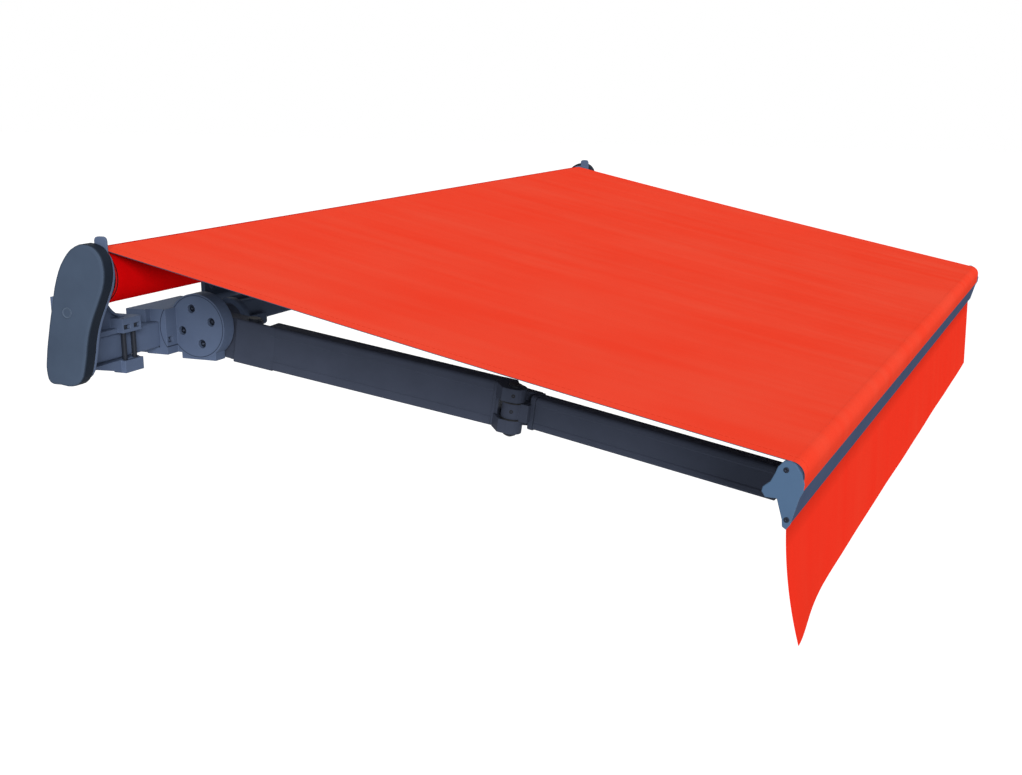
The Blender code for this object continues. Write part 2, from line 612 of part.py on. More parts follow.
def headed_pin(name, radius, low, high, head, parent, dome=0.0):
    """A pin with a flat head above and a low dome or a clip below."""
    turned(name, [
        (0.0, high + head), (radius + 0.0035, high + head), (radius + 0.0045, high + head - 0.001),
        (radius + 0.0045, high), (radius, high), (radius, low), (radius + 0.0040, low),
        (radius + 0.0034, low - dome * 0.6 - 0.001), (radius * 0.6, low - dome - 0.0016), (0.0, low - dome - 0.0018),
    ], PLAN, parent, STEEL, 16)


# Arm pieces
GROOVE = 0.0012
BORE_CORNER = 0.0030


def arm_tube(name, wide, tall, low, high, offset, parent):
    """An extruded aluminium arm with grooved flanks, drawn across its length."""
    lip = tall * 0.30
    right = [(wide / 2, lip), (wide / 2 - GROOVE, lip - 0.002), (wide / 2 - GROOVE, -lip + 0.002), (wide / 2, -lip)]
    corner = 0.005
    outline = arc((wide / 2 - corner, tall / 2 - corner), corner, 90, 0, 3) + right
    outline += arc((wide / 2 - corner, corner - tall / 2), corner, 0, -90, 3)
    outline += [(-a, b) for a, b in reversed(outline)]
    outline = [(a + offset, b) for a, b in outline]
    bore_wide = wide - 2 * (ARM_TUBE_WALL + GROOVE)
    bore = rounded_box(bore_wide, tall - 2 * ARM_TUBE_WALL, BORE_CORNER, (offset, 0), 1)
    return extruded(name, [outline, bore], low, high, SECTION, parent, PROFILE)


def tube_plug(name, wide, tall, low, high, offset, parent):
    """The tongue of a casting that is pushed into an arm tube."""
    inner_wide = wide - 2 * (ARM_TUBE_WALL + GROOVE + GAP)
    inner_tall = tall - 2 * (ARM_TUBE_WALL + GAP)
    return extruded(name, [rounded_box(inner_wide, inner_tall, BORE_CORNER, (offset, 0), 1)], low, high, SECTION,
                    parent)


def collar(name, wide, tall, low, high, offset, parent):
    """The casting's rim that butts on the end of an arm tube."""
    return extruded(name, [rounded_box(wide, tall, 0.005, (offset, 0))], low, high, SECTION, parent)


ROOT_TUBE = 0.040
GUARD_NEAR, GUARD_FAR = LUG_RADIUS + 0.0008, REAR_WIDE / 2 - 0.0003
GUARD_TALL = REAR_TALL / 2 - 0.0005
GUARD_BACK = 0.0155
GUARD_CORNER = 0.0080
FORK_TUBE = TUBE_LINE - 0.034
EYE_TUBE = 0.034
END_TUBE = TUBE_LINE - 0.042
EYE_TALL = LUG_LOW - GAP
EAR_LOW = 0.0140
EAR_HIGH = 0.0345
EAR_RADIUS = 0.0175
FRONT_EYE = 0.0100
FRONT_LUG = 0.0075


def rear_arm(side, word, inward, shoulder_frame):
    arm_tube(f"rear_arm_{word}", REAR_WIDE, REAR_TALL, ROOT_TUBE, FORK_TUBE, 0, shoulder_frame)
    # Root casting: eye on the shoulder pin, neck, rim and tongue
    eye = cylinder(f"arm_root_{word}", LUG_RADIUS, -EYE_TALL, EYE_TALL, PLAN, shoulder_frame, PROFILE, segments=28)
    flank = [(0.006, -EYE_TALL), (0.026, -EYE_TALL), (ROOT_TUBE - COLLAR, -REAR_TALL / 2 + 0.004),
             (ROOT_TUBE - COLLAR, REAR_TALL / 2 - 0.004), (0.026, EYE_TALL), (0.006, EYE_TALL)]
    neck = extruded(f"root_neck_{word}", [flank], -0.0155, 0.0155, FRONT, shoulder_frame)
    rim = collar(f"root_rim_{word}", REAR_WIDE, REAR_TALL, ROOT_TUBE - COLLAR - 0.001, ROOT_TUBE - GAP, 0,
                 shoulder_frame)
    tongue = tube_plug(f"root_tongue_{word}", REAR_WIDE, REAR_TALL, ROOT_TUBE - 0.002, ROOT_TUBE + PLUG_LENGTH, 0,
                       shoulder_frame)
    # A guard plate on the outer side carries the arm's flank back past the lugs
    guard = [(ROOT_TUBE - 2 * GAP, -GUARD_TALL), (ROOT_TUBE - 2 * GAP, GUARD_TALL)]
    guard += arc((GUARD_CORNER - GUARD_BACK, GUARD_TALL - GUARD_CORNER), GUARD_CORNER, 90, 180, 3)
    guard += arc((GUARD_CORNER - GUARD_BACK, GUARD_CORNER - GUARD_TALL), GUARD_CORNER, 180, 270, 3)
    plate = extruded(f"root_guard_{word}", [guard], *sorted((inward * GUARD_NEAR, inward * GUARD_FAR)), FRONT,
                     shoulder_frame)
    bore = cylinder(f"root_bore_{word}", PIN_RADIUS + GAP, -0.05, 0.05, PLAN, shoulder_frame, segments=24)
    cut(add(eye, neck, rim, tongue, plate), bore)
    headed_pin(f"shoulder_pin_{word}", PIN_RADIUS, -LUG_HIGH - GAP, LUG_HIGH + GAP, 0.004, shoulder_frame)
    # Fork casting: tongue, rim, web and two ears that reach sideways to the elbow pin
    pin_y = -inward * ELBOW_OFFSET
    rim = collar(f"fork_rim_{word}", REAR_WIDE, REAR_TALL, FORK_TUBE + GAP, FORK_TUBE + COLLAR, 0, shoulder_frame)
    tongue = tube_plug(f"fork_tongue_{word}", REAR_WIDE, REAR_TALL, FORK_TUBE - PLUG_LENGTH, FORK_TUBE + 0.002, 0,
                       shoulder_frame)
    fork = extruded(f"elbow_fork_{word}", [rounded_box(REAR_WIDE - 0.002, 2 * EAR_HIGH - 0.001, 0.004)],
                    FORK_TUBE + COLLAR - 0.001, TUBE_LINE - 0.0245, SECTION, shoulder_frame, CASTING)
    for index, level in enumerate((EAR_LOW, -EAR_HIGH)):
        far = inward * (REAR_WIDE / 2 - 0.002)
        near = pin_y - inward * EAR_RADIUS
        sweep = arc((TUBE_LINE, pin_y), EAR_RADIUS, -90 * inward, 90 * inward, 10)
        ear = [(FORK_TUBE + 0.003, far)] + [(FORK_TUBE + 0.003, -inward * (REAR_WIDE / 2 - 0.001))]
        ear += [(TUBE_LINE - 0.014, near)] + sweep + [(TUBE_LINE - 0.010, far)]
        plate = extruded(f"fork_ear_{word}_{index}", [ear], level, level + EAR_HIGH - EAR_LOW, PLAN, shoulder_frame)
        add(fork, plate)
    bore = cylinder(f"fork_bore_{word}", PIN_RADIUS + GAP, -0.06, 0.06, PLAN, shoulder_frame, segments=24,
                    centre=(TUBE_LINE, pin_y, 0))
    cut(add(fork, rim, tongue), bore)


def arm_spring(word, shoulder_frame):
    """The tension spring in the rear arm, with a straight hook wire at each end."""
    low = ROOT_TUBE + PLUG_LENGTH + GAP
    high = FORK_TUBE - PLUG_LENGTH - GAP
    coil_low, coil_high = low + 0.020, low + 0.170
    coil_radius, turns, steps = 0.0095, 8, 7
    wire_radius = 0.0016
    points = [(low, 0, 0), (coil_low - 0.006, 0, 0)]
    for i in range(turns * steps + 1):
        angle = tau * i / steps
        points.append((coil_low + (coil_high - coil_low) * i / (turns * steps),
                       coil_radius * cos(angle), coil_radius * sin(angle)))
    points += [(coil_high + 0.006, 0, 0), (high, 0, 0)]
    curve = bpy.data.curves.new(f"arm_spring_{word}", "CURVE")
    curve.dimensions = "3D"
    curve.bevel_depth = wire_radius
    curve.bevel_resolution = 1
    curve.use_fill_caps = True
    spline = curve.splines.new("POLY")
    spline.points.add(len(points) - 1)
    for point, place_at in zip(spline.points, points):
        point.co = (*place_at, 1)
    spring = bpy.data.objects.new(f"arm_spring_{word}", curve)
    parts.objects.link(spring)
    spring.parent = shoulder_frame
    curve.materials.append(STEEL)


def forearm(side, word, inward, elbow_frame):
    line = inward * ELBOW_OFFSET
    arm_tube(f"forearm_{word}", FORE_WIDE, FORE_TALL, EYE_TUBE, END_TUBE, line, elbow_frame)
    # Elbow casting: barrel between the fork's ears, neck, rim and tongue
    half = EAR_LOW - GAP
    barrel = cylinder(f"elbow_eye_{word}", EAR_RADIUS - 0.001, -half, half, PLAN, elbow_frame, CASTING, segments=28)
    neck_low, neck_high = sorted((-inward * 0.008, inward * (ELBOW_OFFSET + FORE_WIDE / 2 - 0.001)))
    neck = block(f"eye_neck_{word}", (0.004, neck_low, -half), (EYE_TUBE - COLLAR, neck_high, half), elbow_frame)
    rim = collar(f"eye_rim_{word}", FORE_WIDE + 0.002, FORE_TALL + 0.003, EYE_TUBE - COLLAR - 0.003, EYE_TUBE - GAP,
                 line, elbow_frame)
    tongue = tube_plug(f"eye_tongue_{word}", FORE_WIDE, FORE_TALL, EYE_TUBE - 0.002, EYE_TUBE + PLUG_LENGTH, line,
                       elbow_frame)
    bore = cylinder(f"eye_bore_{word}", PIN_RADIUS + GAP, -0.05, 0.05, PLAN, elbow_frame, segments=24)
    cut(add(barrel, neck, rim, tongue), bore)
    headed_pin(f"elbow_pin_{word}", PIN_RADIUS, -EAR_HIGH - GAP, EAR_HIGH + GAP, 0.0035, elbow_frame, dome=0.006)
    # Front casting: tongue, rim, neck and the eye on the front pin
    looseness = GAP if side == LEFT else 2.5 * GAP
    eye = cylinder(f"forearm_end_{word}", 0.0135, -FRONT_EYE, FRONT_EYE, PLAN, elbow_frame, CASTING, segments=28,
                   centre=(TUBE_LINE, line, 0))
    flank = [(END_TUBE + 0.003, -FORE_TALL / 2 + 0.004), (TUBE_LINE - 0.023, -FRONT_EYE), (TUBE_LINE - 0.004, -FRONT_EYE),
             (TUBE_LINE - 0.004, FRONT_EYE), (TUBE_LINE - 0.023, FRONT_EYE), (END_TUBE + 0.003, FORE_TALL / 2 - 0.004)]
    neck = extruded(f"end_neck_{word}", [flank], -line - 0.011, -line + 0.011, FRONT, elbow_frame)
    rim = collar(f"end_rim_{word}", FORE_WIDE, FORE_TALL, END_TUBE + GAP, END_TUBE + COLLAR, line, elbow_frame)
    tongue = tube_plug(f"end_tongue_{word}", FORE_WIDE, FORE_TALL, END_TUBE - PLUG_LENGTH, END_TUBE + 0.002, line,
                       elbow_frame)
    bore = cylinder(f"end_bore_{word}", PIN_RADIUS + looseness, -0.05, 0.05, PLAN, elbow_frame, segments=24,
                    centre=(TUBE_LINE, line, 0))
    cut(add(eye, neck, rim, tongue), bore)


# Front rail, its end caps, the arm brackets and the valance
LIP_Y, LIP_Z = -1.0690, -0.1225
RAIL_FOOT_Y = -1.0620


def front_rail(parent):
    nose = (NOSE_Y, NOSE_Z)
    outline = [(RAIL_REAR_Y, NOSE_Z + 0.003)] + arc(nose, NOSE_RADIUS, 50, 205, 10)
    outline += [(NOSE_Y - 0.0125, -0.0800), (-1.0826, -0.0880), (LIP_Y - 0.0055, LIP_Z + 0.0040), (LIP_Y, LIP_Z),
                (LIP_Y + 0.0035, LIP_Z + 0.0030), (RAIL_FOOT_Y, -0.105), (RAIL_REAR_Y, -0.0930)]
    wall = 0.0022
    chamber = [(RAIL_REAR_Y - wall, NOSE_Z + 0.001)] + arc(nose, NOSE_RADIUS - wall, 50, 195, 7)
    chamber += [(-1.0793, -0.0880), (-1.0690, -0.1120), (RAIL_FOOT_Y - wall - 0.0006, -0.1060),
                (RAIL_REAR_Y - wall, -0.0935)]
    extruded("front_rail", [outline, chamber], -CLOTH_HALF, CLOTH_HALF, SECTION, parent, RAIL)


CAP_OUTLINE = [
    (-1.0650, -0.0425), (-1.0717, -0.0420), (-1.0790, -0.0455), (-1.0860, -0.0560), (-1.0895, -0.0693),
    (-1.0882, -0.0787), (-1.0839, -0.0870), (-1.0741, -0.1198), (-1.0693, -0.1262), (-1.0645, -0.1227),
    (-1.0640, -0.1140), (-1.0573, -0.0890), (-1.0430, -0.0887), (-1.0386, -0.0817), (-1.0401, -0.0760),
    (-1.0491, -0.0686), (-1.0539, -0.0594), (-1.0578, -0.0500),
]


def front_cap(side, word, parent):
    low = CLOTH_HALF + GAP
    cap = extruded(f"front_cap_{word}", [CAP_OUTLINE], *between(low, low + CAP_THICK, side), SECTION, parent, CAP)
    soften(cap, 0.0010, 2)


def front_bracket(side, word, bar_frame, pivot_frame):
    """Foot on the rail's back, with two lugs for the front pin."""
    half = 0.026
    foot_front, foot_back = RAIL_REAR_Y + GAP, RAIL_REAR_Y + GAP + 0.0060
    foot = extruded(f"front_bracket_{word}", [rectangle(foot_front, -0.190, foot_back, -0.058)],
                    side * ARM_X - half, side * ARM_X + half, SECTION, bar_frame, CASTING)
    reach = FRONT_Y - foot_back + 0.003
    low, high = FRONT_EYE + GAP, FRONT_EYE + GAP + FRONT_LUG
    for index, level in enumerate((low, -high)):
        lug = arc((0, 0), 0.0140, 90, 270, 10) + [(reach, -0.0230), (reach, 0.0230)]
        ear = extruded(f"front_lug_{word}_{index}", [lug], level, level + FRONT_LUG, PLAN, pivot_frame)
        add(foot, ear)
    bore = cylinder(f"front_bore_{word}", PIN_RADIUS + GAP, -0.05, 0.05, PLAN, pivot_frame, segments=24)
    cut(foot, bore)
    headed_pin(f"front_pin_{word}", PIN_RADIUS, -high - GAP, high + GAP, 0.0030, pivot_frame)


def valance(parent):
    """The hanging strip of cloth, held by its hem in the groove under the rail."""
    top = LIP_Z - GAP
    middle = LIP_Y + 0.0002
    extruded("valance", [rectangle(middle - CLOTH_THICK / 2, top - VALANCE_DROP, middle + CLOTH_THICK / 2, top)],
             -CLOTH_HALF, CLOTH_HALF, SECTION, parent, CLOTH)


# Crank drive at the right end: worm housing on the end plate and the eye that hangs below the cover
EYE_RING = 0.0150
EYE_WIRE = 0.0040
EYE_DROP = -0.058


def crank_drive(crank_frame):
    depth_low, depth_high = COVER_IN, COVER_IN + 0.0200
    outline = [(-0.104, 0.100), (-0.098, 0.094), (-0.0395, 0.094), (-0.0395, 0.106), (-0.054, 0.136), (-0.060, 0.141),
               (-0.096, 0.144), (-0.104, 0.136)]
    housing = extruded("gearbox", [outline], depth_low, depth_high, SECTION, bar_axis, BLACK)
    axle = cylinder("gearbox_axle", PIN_RADIUS + GAP, PLATE_OUT, PLATE_OUT + 0.0095, ALONG_X, bar_axis,
                    segments=24, centre=(0, ROLL_Y, ROLL_Z))
    worm = cylinder("gearbox_worm", 0.0050 + GAP, -0.05, 0.0150, PLAN, bar_axis, segments=20,
                    centre=(CRANK_X, CRANK_Y, 0.0910))
    cut(housing, axle, worm)
    shaft = cylinder("crank_eye", 0.0050, EYE_DROP + EYE_RING - 0.001, 0.1050, PLAN, crank_frame, STEEL, segments=16)
    bpy.ops.mesh.primitive_torus_add(major_radius=EYE_RING, minor_radius=EYE_WIRE, major_segments=24,
                                     minor_segments=8)
    loop = bpy.context.active_object
    ring = loop.data
    ring.transform(Matrix.Translation((0, 0, EYE_DROP)) @ ALONG_X)
    bpy.data.objects.remove(loop)
    add(shaft, place("crank_ring", ring, crank_frame, None, hidden=True))


# Put together
torsion_bar()
for bracket_x, place_word in ((0.0, "centre"), (-WALL_BRACKET_X, "left"), (WALL_BRACKET_X, "right")):
    wall_bracket(f"wall_bracket_{place_word}", bracket_x)
roller_axis = empty("roller_axis", Matrix.Translation((0, ROLL_Y - BAR_TO_WALL, ROLL_Z)), bar_axis)
roller(roller_axis)
crank_axis = empty("crank_axis", Matrix.Translation((CRANK_X, CRANK_Y - BAR_TO_WALL, 0)), bar_axis)
crank_drive(crank_axis)

for arm_side, arm_word in SIDES:
    arm_inward = -arm_side
    roller_bracket(arm_side, arm_word)
    roller_clamp(arm_side, arm_word)
    end_cover(arm_side, arm_word)
    shoulder_bracket(arm_side, arm_word)
    shoulder_clamp(arm_side, arm_word)
    pitch_pin(arm_side, arm_word, bar_axis)
    pitch_axis = empty(f"pitch_axis_{arm_word}", Matrix.Translation((arm_side * ARM_X, PITCH_Y - BAR_TO_WALL, PITCH_Z)),
                       bar_axis)
    straight = empty(f"shoulder_line_{arm_word}", arm_frame(arm_side * ARM_X, SHOULDER_Y, SHOULDER_Z, 0, 1), pitch_axis)
    pitch_knuckle(arm_side, arm_word, pitch_axis, straight)
    fold_axis = empty(f"fold_axis_{arm_word}",
                      arm_frame(arm_side * ARM_X, SHOULDER_Y, SHOULDER_Z, TUBE_TURN, arm_inward), pitch_axis)
    rear_arm(arm_side, arm_word, arm_inward, fold_axis)
    arm_spring(arm_word, fold_axis)
    elbow_at = fold_axis.matrix_world @ Vector((TUBE_LINE, -arm_inward * ELBOW_OFFSET, 0))
    elbow_axis = empty(f"elbow_axis_{arm_word}",
                       arm_frame(elbow_at.x, elbow_at.y + BAR_TO_WALL, elbow_at.z, -TUBE_TURN, arm_inward), fold_axis)
    forearm(arm_side, arm_word, arm_inward, elbow_axis)
    front_axis = empty(f"front_axis_{arm_word}", arm_frame(arm_side * ARM_X, FRONT_Y, FRONT_Z, 0, 1), elbow_axis)
    front_bar = empty(f"front_bar_{arm_word}", bar_axis.matrix_world, front_axis)
    front_bracket(arm_side, arm_word, front_bar, front_axis)
    front_cap(arm_side, arm_word, front_bar)
    if arm_side == LEFT:
        canopy(empty("canopy_frame", bar_axis.matrix_world, pitch_axis))
        front_rail(front_bar)
        valance(front_bar)

bpy.context.view_layer.update()
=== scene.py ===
from math import asin, atan2, cos, hypot, pi, radians, sin, tau

import bpy
import numpy as np
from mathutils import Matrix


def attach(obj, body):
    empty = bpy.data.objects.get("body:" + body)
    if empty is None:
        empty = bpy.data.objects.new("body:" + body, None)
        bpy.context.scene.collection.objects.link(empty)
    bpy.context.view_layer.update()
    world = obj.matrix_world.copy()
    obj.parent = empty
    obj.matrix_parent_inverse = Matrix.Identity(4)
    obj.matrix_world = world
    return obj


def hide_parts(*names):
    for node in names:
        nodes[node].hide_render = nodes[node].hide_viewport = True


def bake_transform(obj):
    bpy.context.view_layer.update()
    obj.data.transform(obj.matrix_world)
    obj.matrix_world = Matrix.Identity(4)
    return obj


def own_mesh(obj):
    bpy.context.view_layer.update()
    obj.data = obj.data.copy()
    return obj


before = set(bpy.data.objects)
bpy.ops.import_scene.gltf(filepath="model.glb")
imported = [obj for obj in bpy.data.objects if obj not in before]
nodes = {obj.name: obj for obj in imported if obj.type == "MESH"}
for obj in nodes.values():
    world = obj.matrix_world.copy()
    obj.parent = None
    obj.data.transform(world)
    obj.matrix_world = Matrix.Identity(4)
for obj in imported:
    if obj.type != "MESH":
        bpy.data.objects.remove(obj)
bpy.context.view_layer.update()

# Lengths are in metres. x runs along the wall, y into it and z up.
scene = bpy.context.scene


# Camera
# A camera in front of the left end of the awning, a little above it, that looks along the roller to the right
# and down. Its optical axis lies right of the middle of the picture.
CAMERA_PLACE = (-2.4464, -1.4651, 0.4012)
CAMERA_TURN = radians(21.38)
CAMERA_FALL = radians(12.76)
CAMERA_LENS = 49.3
CAMERA_SENSOR = 36.0
CAMERA_SHIFT = -0.0773
camera_data = bpy.data.cameras.new("photo_camera")
camera_data.sensor_width = CAMERA_SENSOR
camera_data.lens = CAMERA_LENS
camera_data.shift_x = CAMERA_SHIFT
camera = bpy.data.objects.new("photo_camera", camera_data)
camera.location = CAMERA_PLACE
camera.rotation_euler = (pi / 2 - CAMERA_FALL, 0.0, CAMERA_TURN - pi / 2)
scene.collection.objects.link(camera)
scene.camera = camera


# Canopy
# The real piece is one width of woven acrylic canvas, dyed red in the fibre and hemmed at both sides. It
# leaves the top of the roll, runs taut to the front rail and bends round its nose into a groove. Here it is
# three strips: one that leaves the roll, one that rides the left knuckle, one on the rail.
CLOTH_HALF = 0.896
CLOTH_THICK = 0.0010
ROLL_CENTRE = np.array((-0.118, 0.122))
ROLL_MIDDLE = 0.0404
NOSE_CENTRE = np.array((-1.1095, -0.0605))
NOSE_MIDDLE = 0.0169
NOSE_END = radians(195.0)
NOSE_FACE = 0.0150
FACE_TILT = radians(7.0)
HEM_WIDE = 0.022
HEM_STITCH = HEM_WIDE - 0.003
TILT_STRIP = 0.120
FINE_BAND = 0.03
SAG = 0.0030
RIPPLE = 0.0007
RIPPLE_WIDE = 0.41
SWELL_WIDE = 1.7
THREAD = 0.0008
STITCH_HALF_PACE = 0.004
STITCH_HALF_LONG = 0.0027
STITCH_HALF_WIDE = 0.0006
# How dark the painted shade is at most where the cloth meets the rail.
RAIL_SHADE_MOST = 0.50
GREY_SHARE = 0.98
GREY_LIGHT = (0.10, 0.10, 0.11, 1.0)

cloth_run = ROLL_CENTRE - NOSE_CENTRE
CLOTH_FALL = atan2(cloth_run[1], cloth_run[0]) + asin((ROLL_MIDDLE - NOSE_MIDDLE) / hypot(*cloth_run))
cloth_up = np.array((-sin(CLOTH_FALL), cos(CLOTH_FALL)))
cloth_back = ROLL_CENTRE + ROLL_MIDDLE * cloth_up
cloth_front = NOSE_CENTRE + NOSE_MIDDLE * cloth_up
CLOTH_RUN = hypot(*(cloth_front - cloth_back))


def surface(name, points, uv=None, around=False, along=False, finish=None):
    """A mesh of a grid of points, rows by columns by (x, y, z). A face joins each four neighbours. The
    columns close into a ring with around, the rows with along. uv is each point's place on the flat piece."""
    rows, columns = points.shape[:2]
    index = np.arange(rows * columns).reshape(rows, columns)
    ahead = np.roll(index, -1, axis=0)
    beside = np.roll(index, -1, axis=1)
    corner = np.roll(ahead, -1, axis=1)
    last_row = rows if along else rows - 1
    last_column = columns if around else columns - 1
    faces = np.stack((index, beside, corner, ahead), axis=-1)[:last_row, :last_column].reshape(-1, 4)
    mesh = bpy.data.meshes.new(name)
    mesh.from_pydata(points.reshape(-1, 3).tolist(), [], faces.tolist())
    if uv is not None:
        layer = mesh.uv_layers.new(name="flat")
        layer.data.foreach_set("uv", uv.reshape(-1, 2)[faces.reshape(-1)].astype(np.float32).reshape(-1))
    mesh.shade_smooth()
    mesh.validate()
    made = bpy.data.objects.new(name, mesh)
    scene.collection.objects.link(made)
    if finish:
        mesh.materials.append(finish)
    return made


def wire(tree, kind, links=None, **settings):
    """Adds a shader node. links maps an input's name or number to a value or to another node's output."""
    node = tree.nodes.new("ShaderNode" + kind)
    for key, value in settings.items():
        setattr(node, key, value)
    for key, value in (links or {}).items():
        if isinstance(value, bpy.types.NodeSocket):
            tree.links.new(value, node.inputs[key])
        else:
            node.inputs[key].default_value = value
    return node


def calc(tree, operation, *values):
    """An arithmetic operation on values and outputs."""
    return wire(tree, "Math", dict(enumerate(values)), operation=operation).outputs[0]


def mix(tree, share, first, second, blend="MIX"):
    """A mix of two colours, by a share of the second."""
    return wire(tree, "Mix", {0: share, 6: first, 7: second}, data_type="RGBA", blend_type=blend).outputs[2]


def remap(tree, value, start, end, low=0.0, high=1.0):
    """The range of a value from start to end, stretched to that from low to high and held within it."""
    ends = {"From Min": start, "From Max": end, "To Min": low, "To Max": high}
    return wire(tree, "MapRange", {"Value": value, **ends}).outputs[0]


def noise(tree, place, scale, detail, roughness=0.5):
    """Cloudy noise, whose scale is the number of blobs a metre."""
    looks = {"Scale": scale, "Detail": detail, "Roughness": roughness}
    return wire(tree, "TexNoise", {"Vector": place, **looks}).outputs[0]


def effect(name, inputs, outputs):
    """An empty shader node group with its named sockets, and the sockets of its inputs and of its outputs."""
    group = bpy.data.node_groups.new(name, "ShaderNodeTree")
    for label, kind in inputs:
        group.interface.new_socket(label, in_out="INPUT", socket_type="NodeSocket" + kind)
    for label, kind in outputs:
        group.interface.new_socket(label, in_out="OUTPUT", socket_type="NodeSocket" + kind)
    return group, group.nodes.new("NodeGroupInput").outputs, group.nodes.new("NodeGroupOutput").inputs


def blank(name):
    """A new material, with its node tree and its Principled shader."""
    finish = bpy.data.materials.new(name)
    finish.use_nodes = True
    return finish, finish.node_tree, finish.node_tree.nodes["Principled BSDF"]


def weave_effect():
    """Plain weave: warp and weft threads as two sine ridges that pass over and under each other. The height
    is the higher thread at each point, and the shade is darker in the pits between them."""
    group, given, result = effect("plain_weave", [("Place", "Vector"), ("Thread", "Float")],
                                  [("Height", "Float"), ("Shade", "Float")])
    part = wire(group, "SeparateXYZ", {0: given["Place"]}).outputs
    ridges = []
    for across, along, middle in (("X", "Y", 0.6), ("Y", "X", 0.5)):
        count = calc(group, "DIVIDE", part[across], given["Thread"])
        other = calc(group, "DIVIDE", part[along], given["Thread"])
        ridge = calc(group, "MULTIPLY", count, pi)
        ridge = calc(group, "SINE", ridge)
        ridge = calc(group, "ABSOLUTE", ridge)
        step = calc(group, "FLOOR", count)
        over = calc(group, "ADD", other, step)
        over = calc(group, "MULTIPLY", over, pi)
        over = calc(group, "COSINE", over)
        over = calc(group, "MULTIPLY_ADD", over, 0.25, middle)
        ridges.append(calc(group, "MULTIPLY", ridge, over))
    high = calc(group, "MAXIMUM", ridges[0], ridges[1])
    group.links.new(high, result["Height"])
    shade = remap(group, high, 0.0, 0.6, 0.90, 1.0)
    group.links.new(shade, result["Shade"])
    return group


plain_weave = weave_effect()


def canvas(name, bright, pale, hem_at, roughness=0.82, rail_shade=None):
    """Dyed canvas. The colour drifts between bright and pale in soft clouds and faint lengthwise streaks, the
    weave darkens the pits between the threads, and a row of stitches runs hem_at from each side. grime is the
    lengths along the cloth from which it is painted darker, as painted shade where it meets the rail, and at
    which that painted shade is darkest. The light that the cloth passes on is grey, so that the frame below
    keeps its own colour."""
    finish, tree, shader = blank(name)
    flat = wire(tree, "UVMap", uv_map="flat").outputs[0]
    clouds = noise(tree, flat, 3.1, 4.0, 0.55)
    stretch = wire(tree, "Mapping", {"Vector": flat, "Scale": (9.0, 0.8, 1.0)}).outputs[0]
    streaks = noise(tree, stretch, 2.0, 3.0, 0.6)
    fibres = noise(tree, flat, 420.0, 2.0, 0.7)
    drift = calc(tree, "ADD", clouds, streaks)
    drift = remap(tree, drift, 0.80, 1.25)
    colour = mix(tree, drift, (*bright, 1.0), (*pale, 1.0))
    weave = wire(tree, "Group", {"Place": flat, "Thread": THREAD}, node_tree=plain_weave).outputs
    speck = remap(tree, fibres, 0.25, 0.75, 0.965, 1.02)
    shade = calc(tree, "MULTIPLY", weave["Shade"], speck)
    colour = mix(tree, 1.0, colour, shade, "MULTIPLY")
    # Distance from the row of stitches. Each stitch is a dash of that row, twice its half length long
    part = wire(tree, "SeparateXYZ", {0: flat}).outputs
    side = calc(tree, "SUBTRACT", part["X"], CLOTH_HALF)
    side = calc(tree, "ABSOLUTE", side)
    side = calc(tree, "SUBTRACT", CLOTH_HALF - hem_at, side)
    side = calc(tree, "ABSOLUTE", side)
    row = calc(tree, "LESS_THAN", side, STITCH_HALF_WIDE)
    pace = calc(tree, "PINGPONG", part["Y"], STITCH_HALF_PACE)
    dash = calc(tree, "LESS_THAN", pace, STITCH_HALF_LONG)
    stitch = calc(tree, "MULTIPLY", row, dash)
    seam = (0.80 * bright[0], 0.6 * bright[1], 0.5 * bright[2], 1.0)
    colour = mix(tree, stitch, colour, seam)
    # Painted shade: the cloth is painted darker towards the rail, where it curves into the groove and where
    # it hangs just below it.
    if rail_shade:
        rail_shade_share = remap(tree, part["Y"], *rail_shade, 0.0, RAIL_SHADE_MOST)
        shade_colour = tuple(0.45 * c for c in bright) + (1.0,)
        colour = mix(tree, rail_shade_share, colour, shade_colour)
    rays = wire(tree, "LightPath").outputs
    bounce = calc(tree, "MAXIMUM", rays["Is Diffuse Ray"], rays["Is Glossy Ray"])
    bounce = calc(tree, "MULTIPLY", bounce, GREY_SHARE)
    colour = mix(tree, bounce, colour, GREY_LIGHT)
    tree.links.new(colour, shader.inputs["Base Color"])
    height = calc(tree, "MULTIPLY_ADD", stitch, -0.8, weave["Height"])
    relief = wire(tree, "Bump", {"Height": height, "Strength": 0.35, "Distance": 0.0003}).outputs[0]
    tree.links.new(relief, shader.inputs["Normal"])
    rough = remap(tree, clouds, 0.3, 0.7, roughness - 0.05, roughness + 0.05)
    tree.links.new(rough, shader.inputs["Roughness"])
    shader.inputs["Specular IOR Level"].default_value = 0.0
    return finish


def plain(name, colour, roughness, metallic=0.0):
    """A small part's finish: one colour, a little mottled, and a fine grain in its roughness."""
    finish, tree, shader = blank(name)
    place = wire(tree, "TexCoord").outputs["Object"]
    grain = noise(tree, place, 900.0, 2.0)
    mottle = noise(tree, place, 60.0, 3.0)
    dark = tuple(0.82 * c for c in colour) + (1.0,)
    shade = mix(tree, mottle, dark, (*colour, 1.0))
    tree.links.new(shade, shader.inputs["Base Color"])
    rough = remap(tree, grain, 0.3, 0.7, roughness - 0.06, roughness + 0.06)
    tree.links.new(rough, shader.inputs["Roughness"])
    shader.inputs["Metallic"].default_value = metallic
    shader.inputs["Specular IOR Level"].default_value = 0.15
    return finish


red_canvas = canvas("red_canvas", (0.945, 0.060, 0.027), (0.935, 0.081, 0.041), HEM_STITCH,
                    rail_shade=(CLOTH_RUN - 0.004, CLOTH_RUN + 0.036))
# The canopy's cut edges are coloured navy, which draws a thin dark line along its sides.
navy_cut_edge = plain("navy_cut_edge", (0.045, 0.055, 0.085), 0.8)


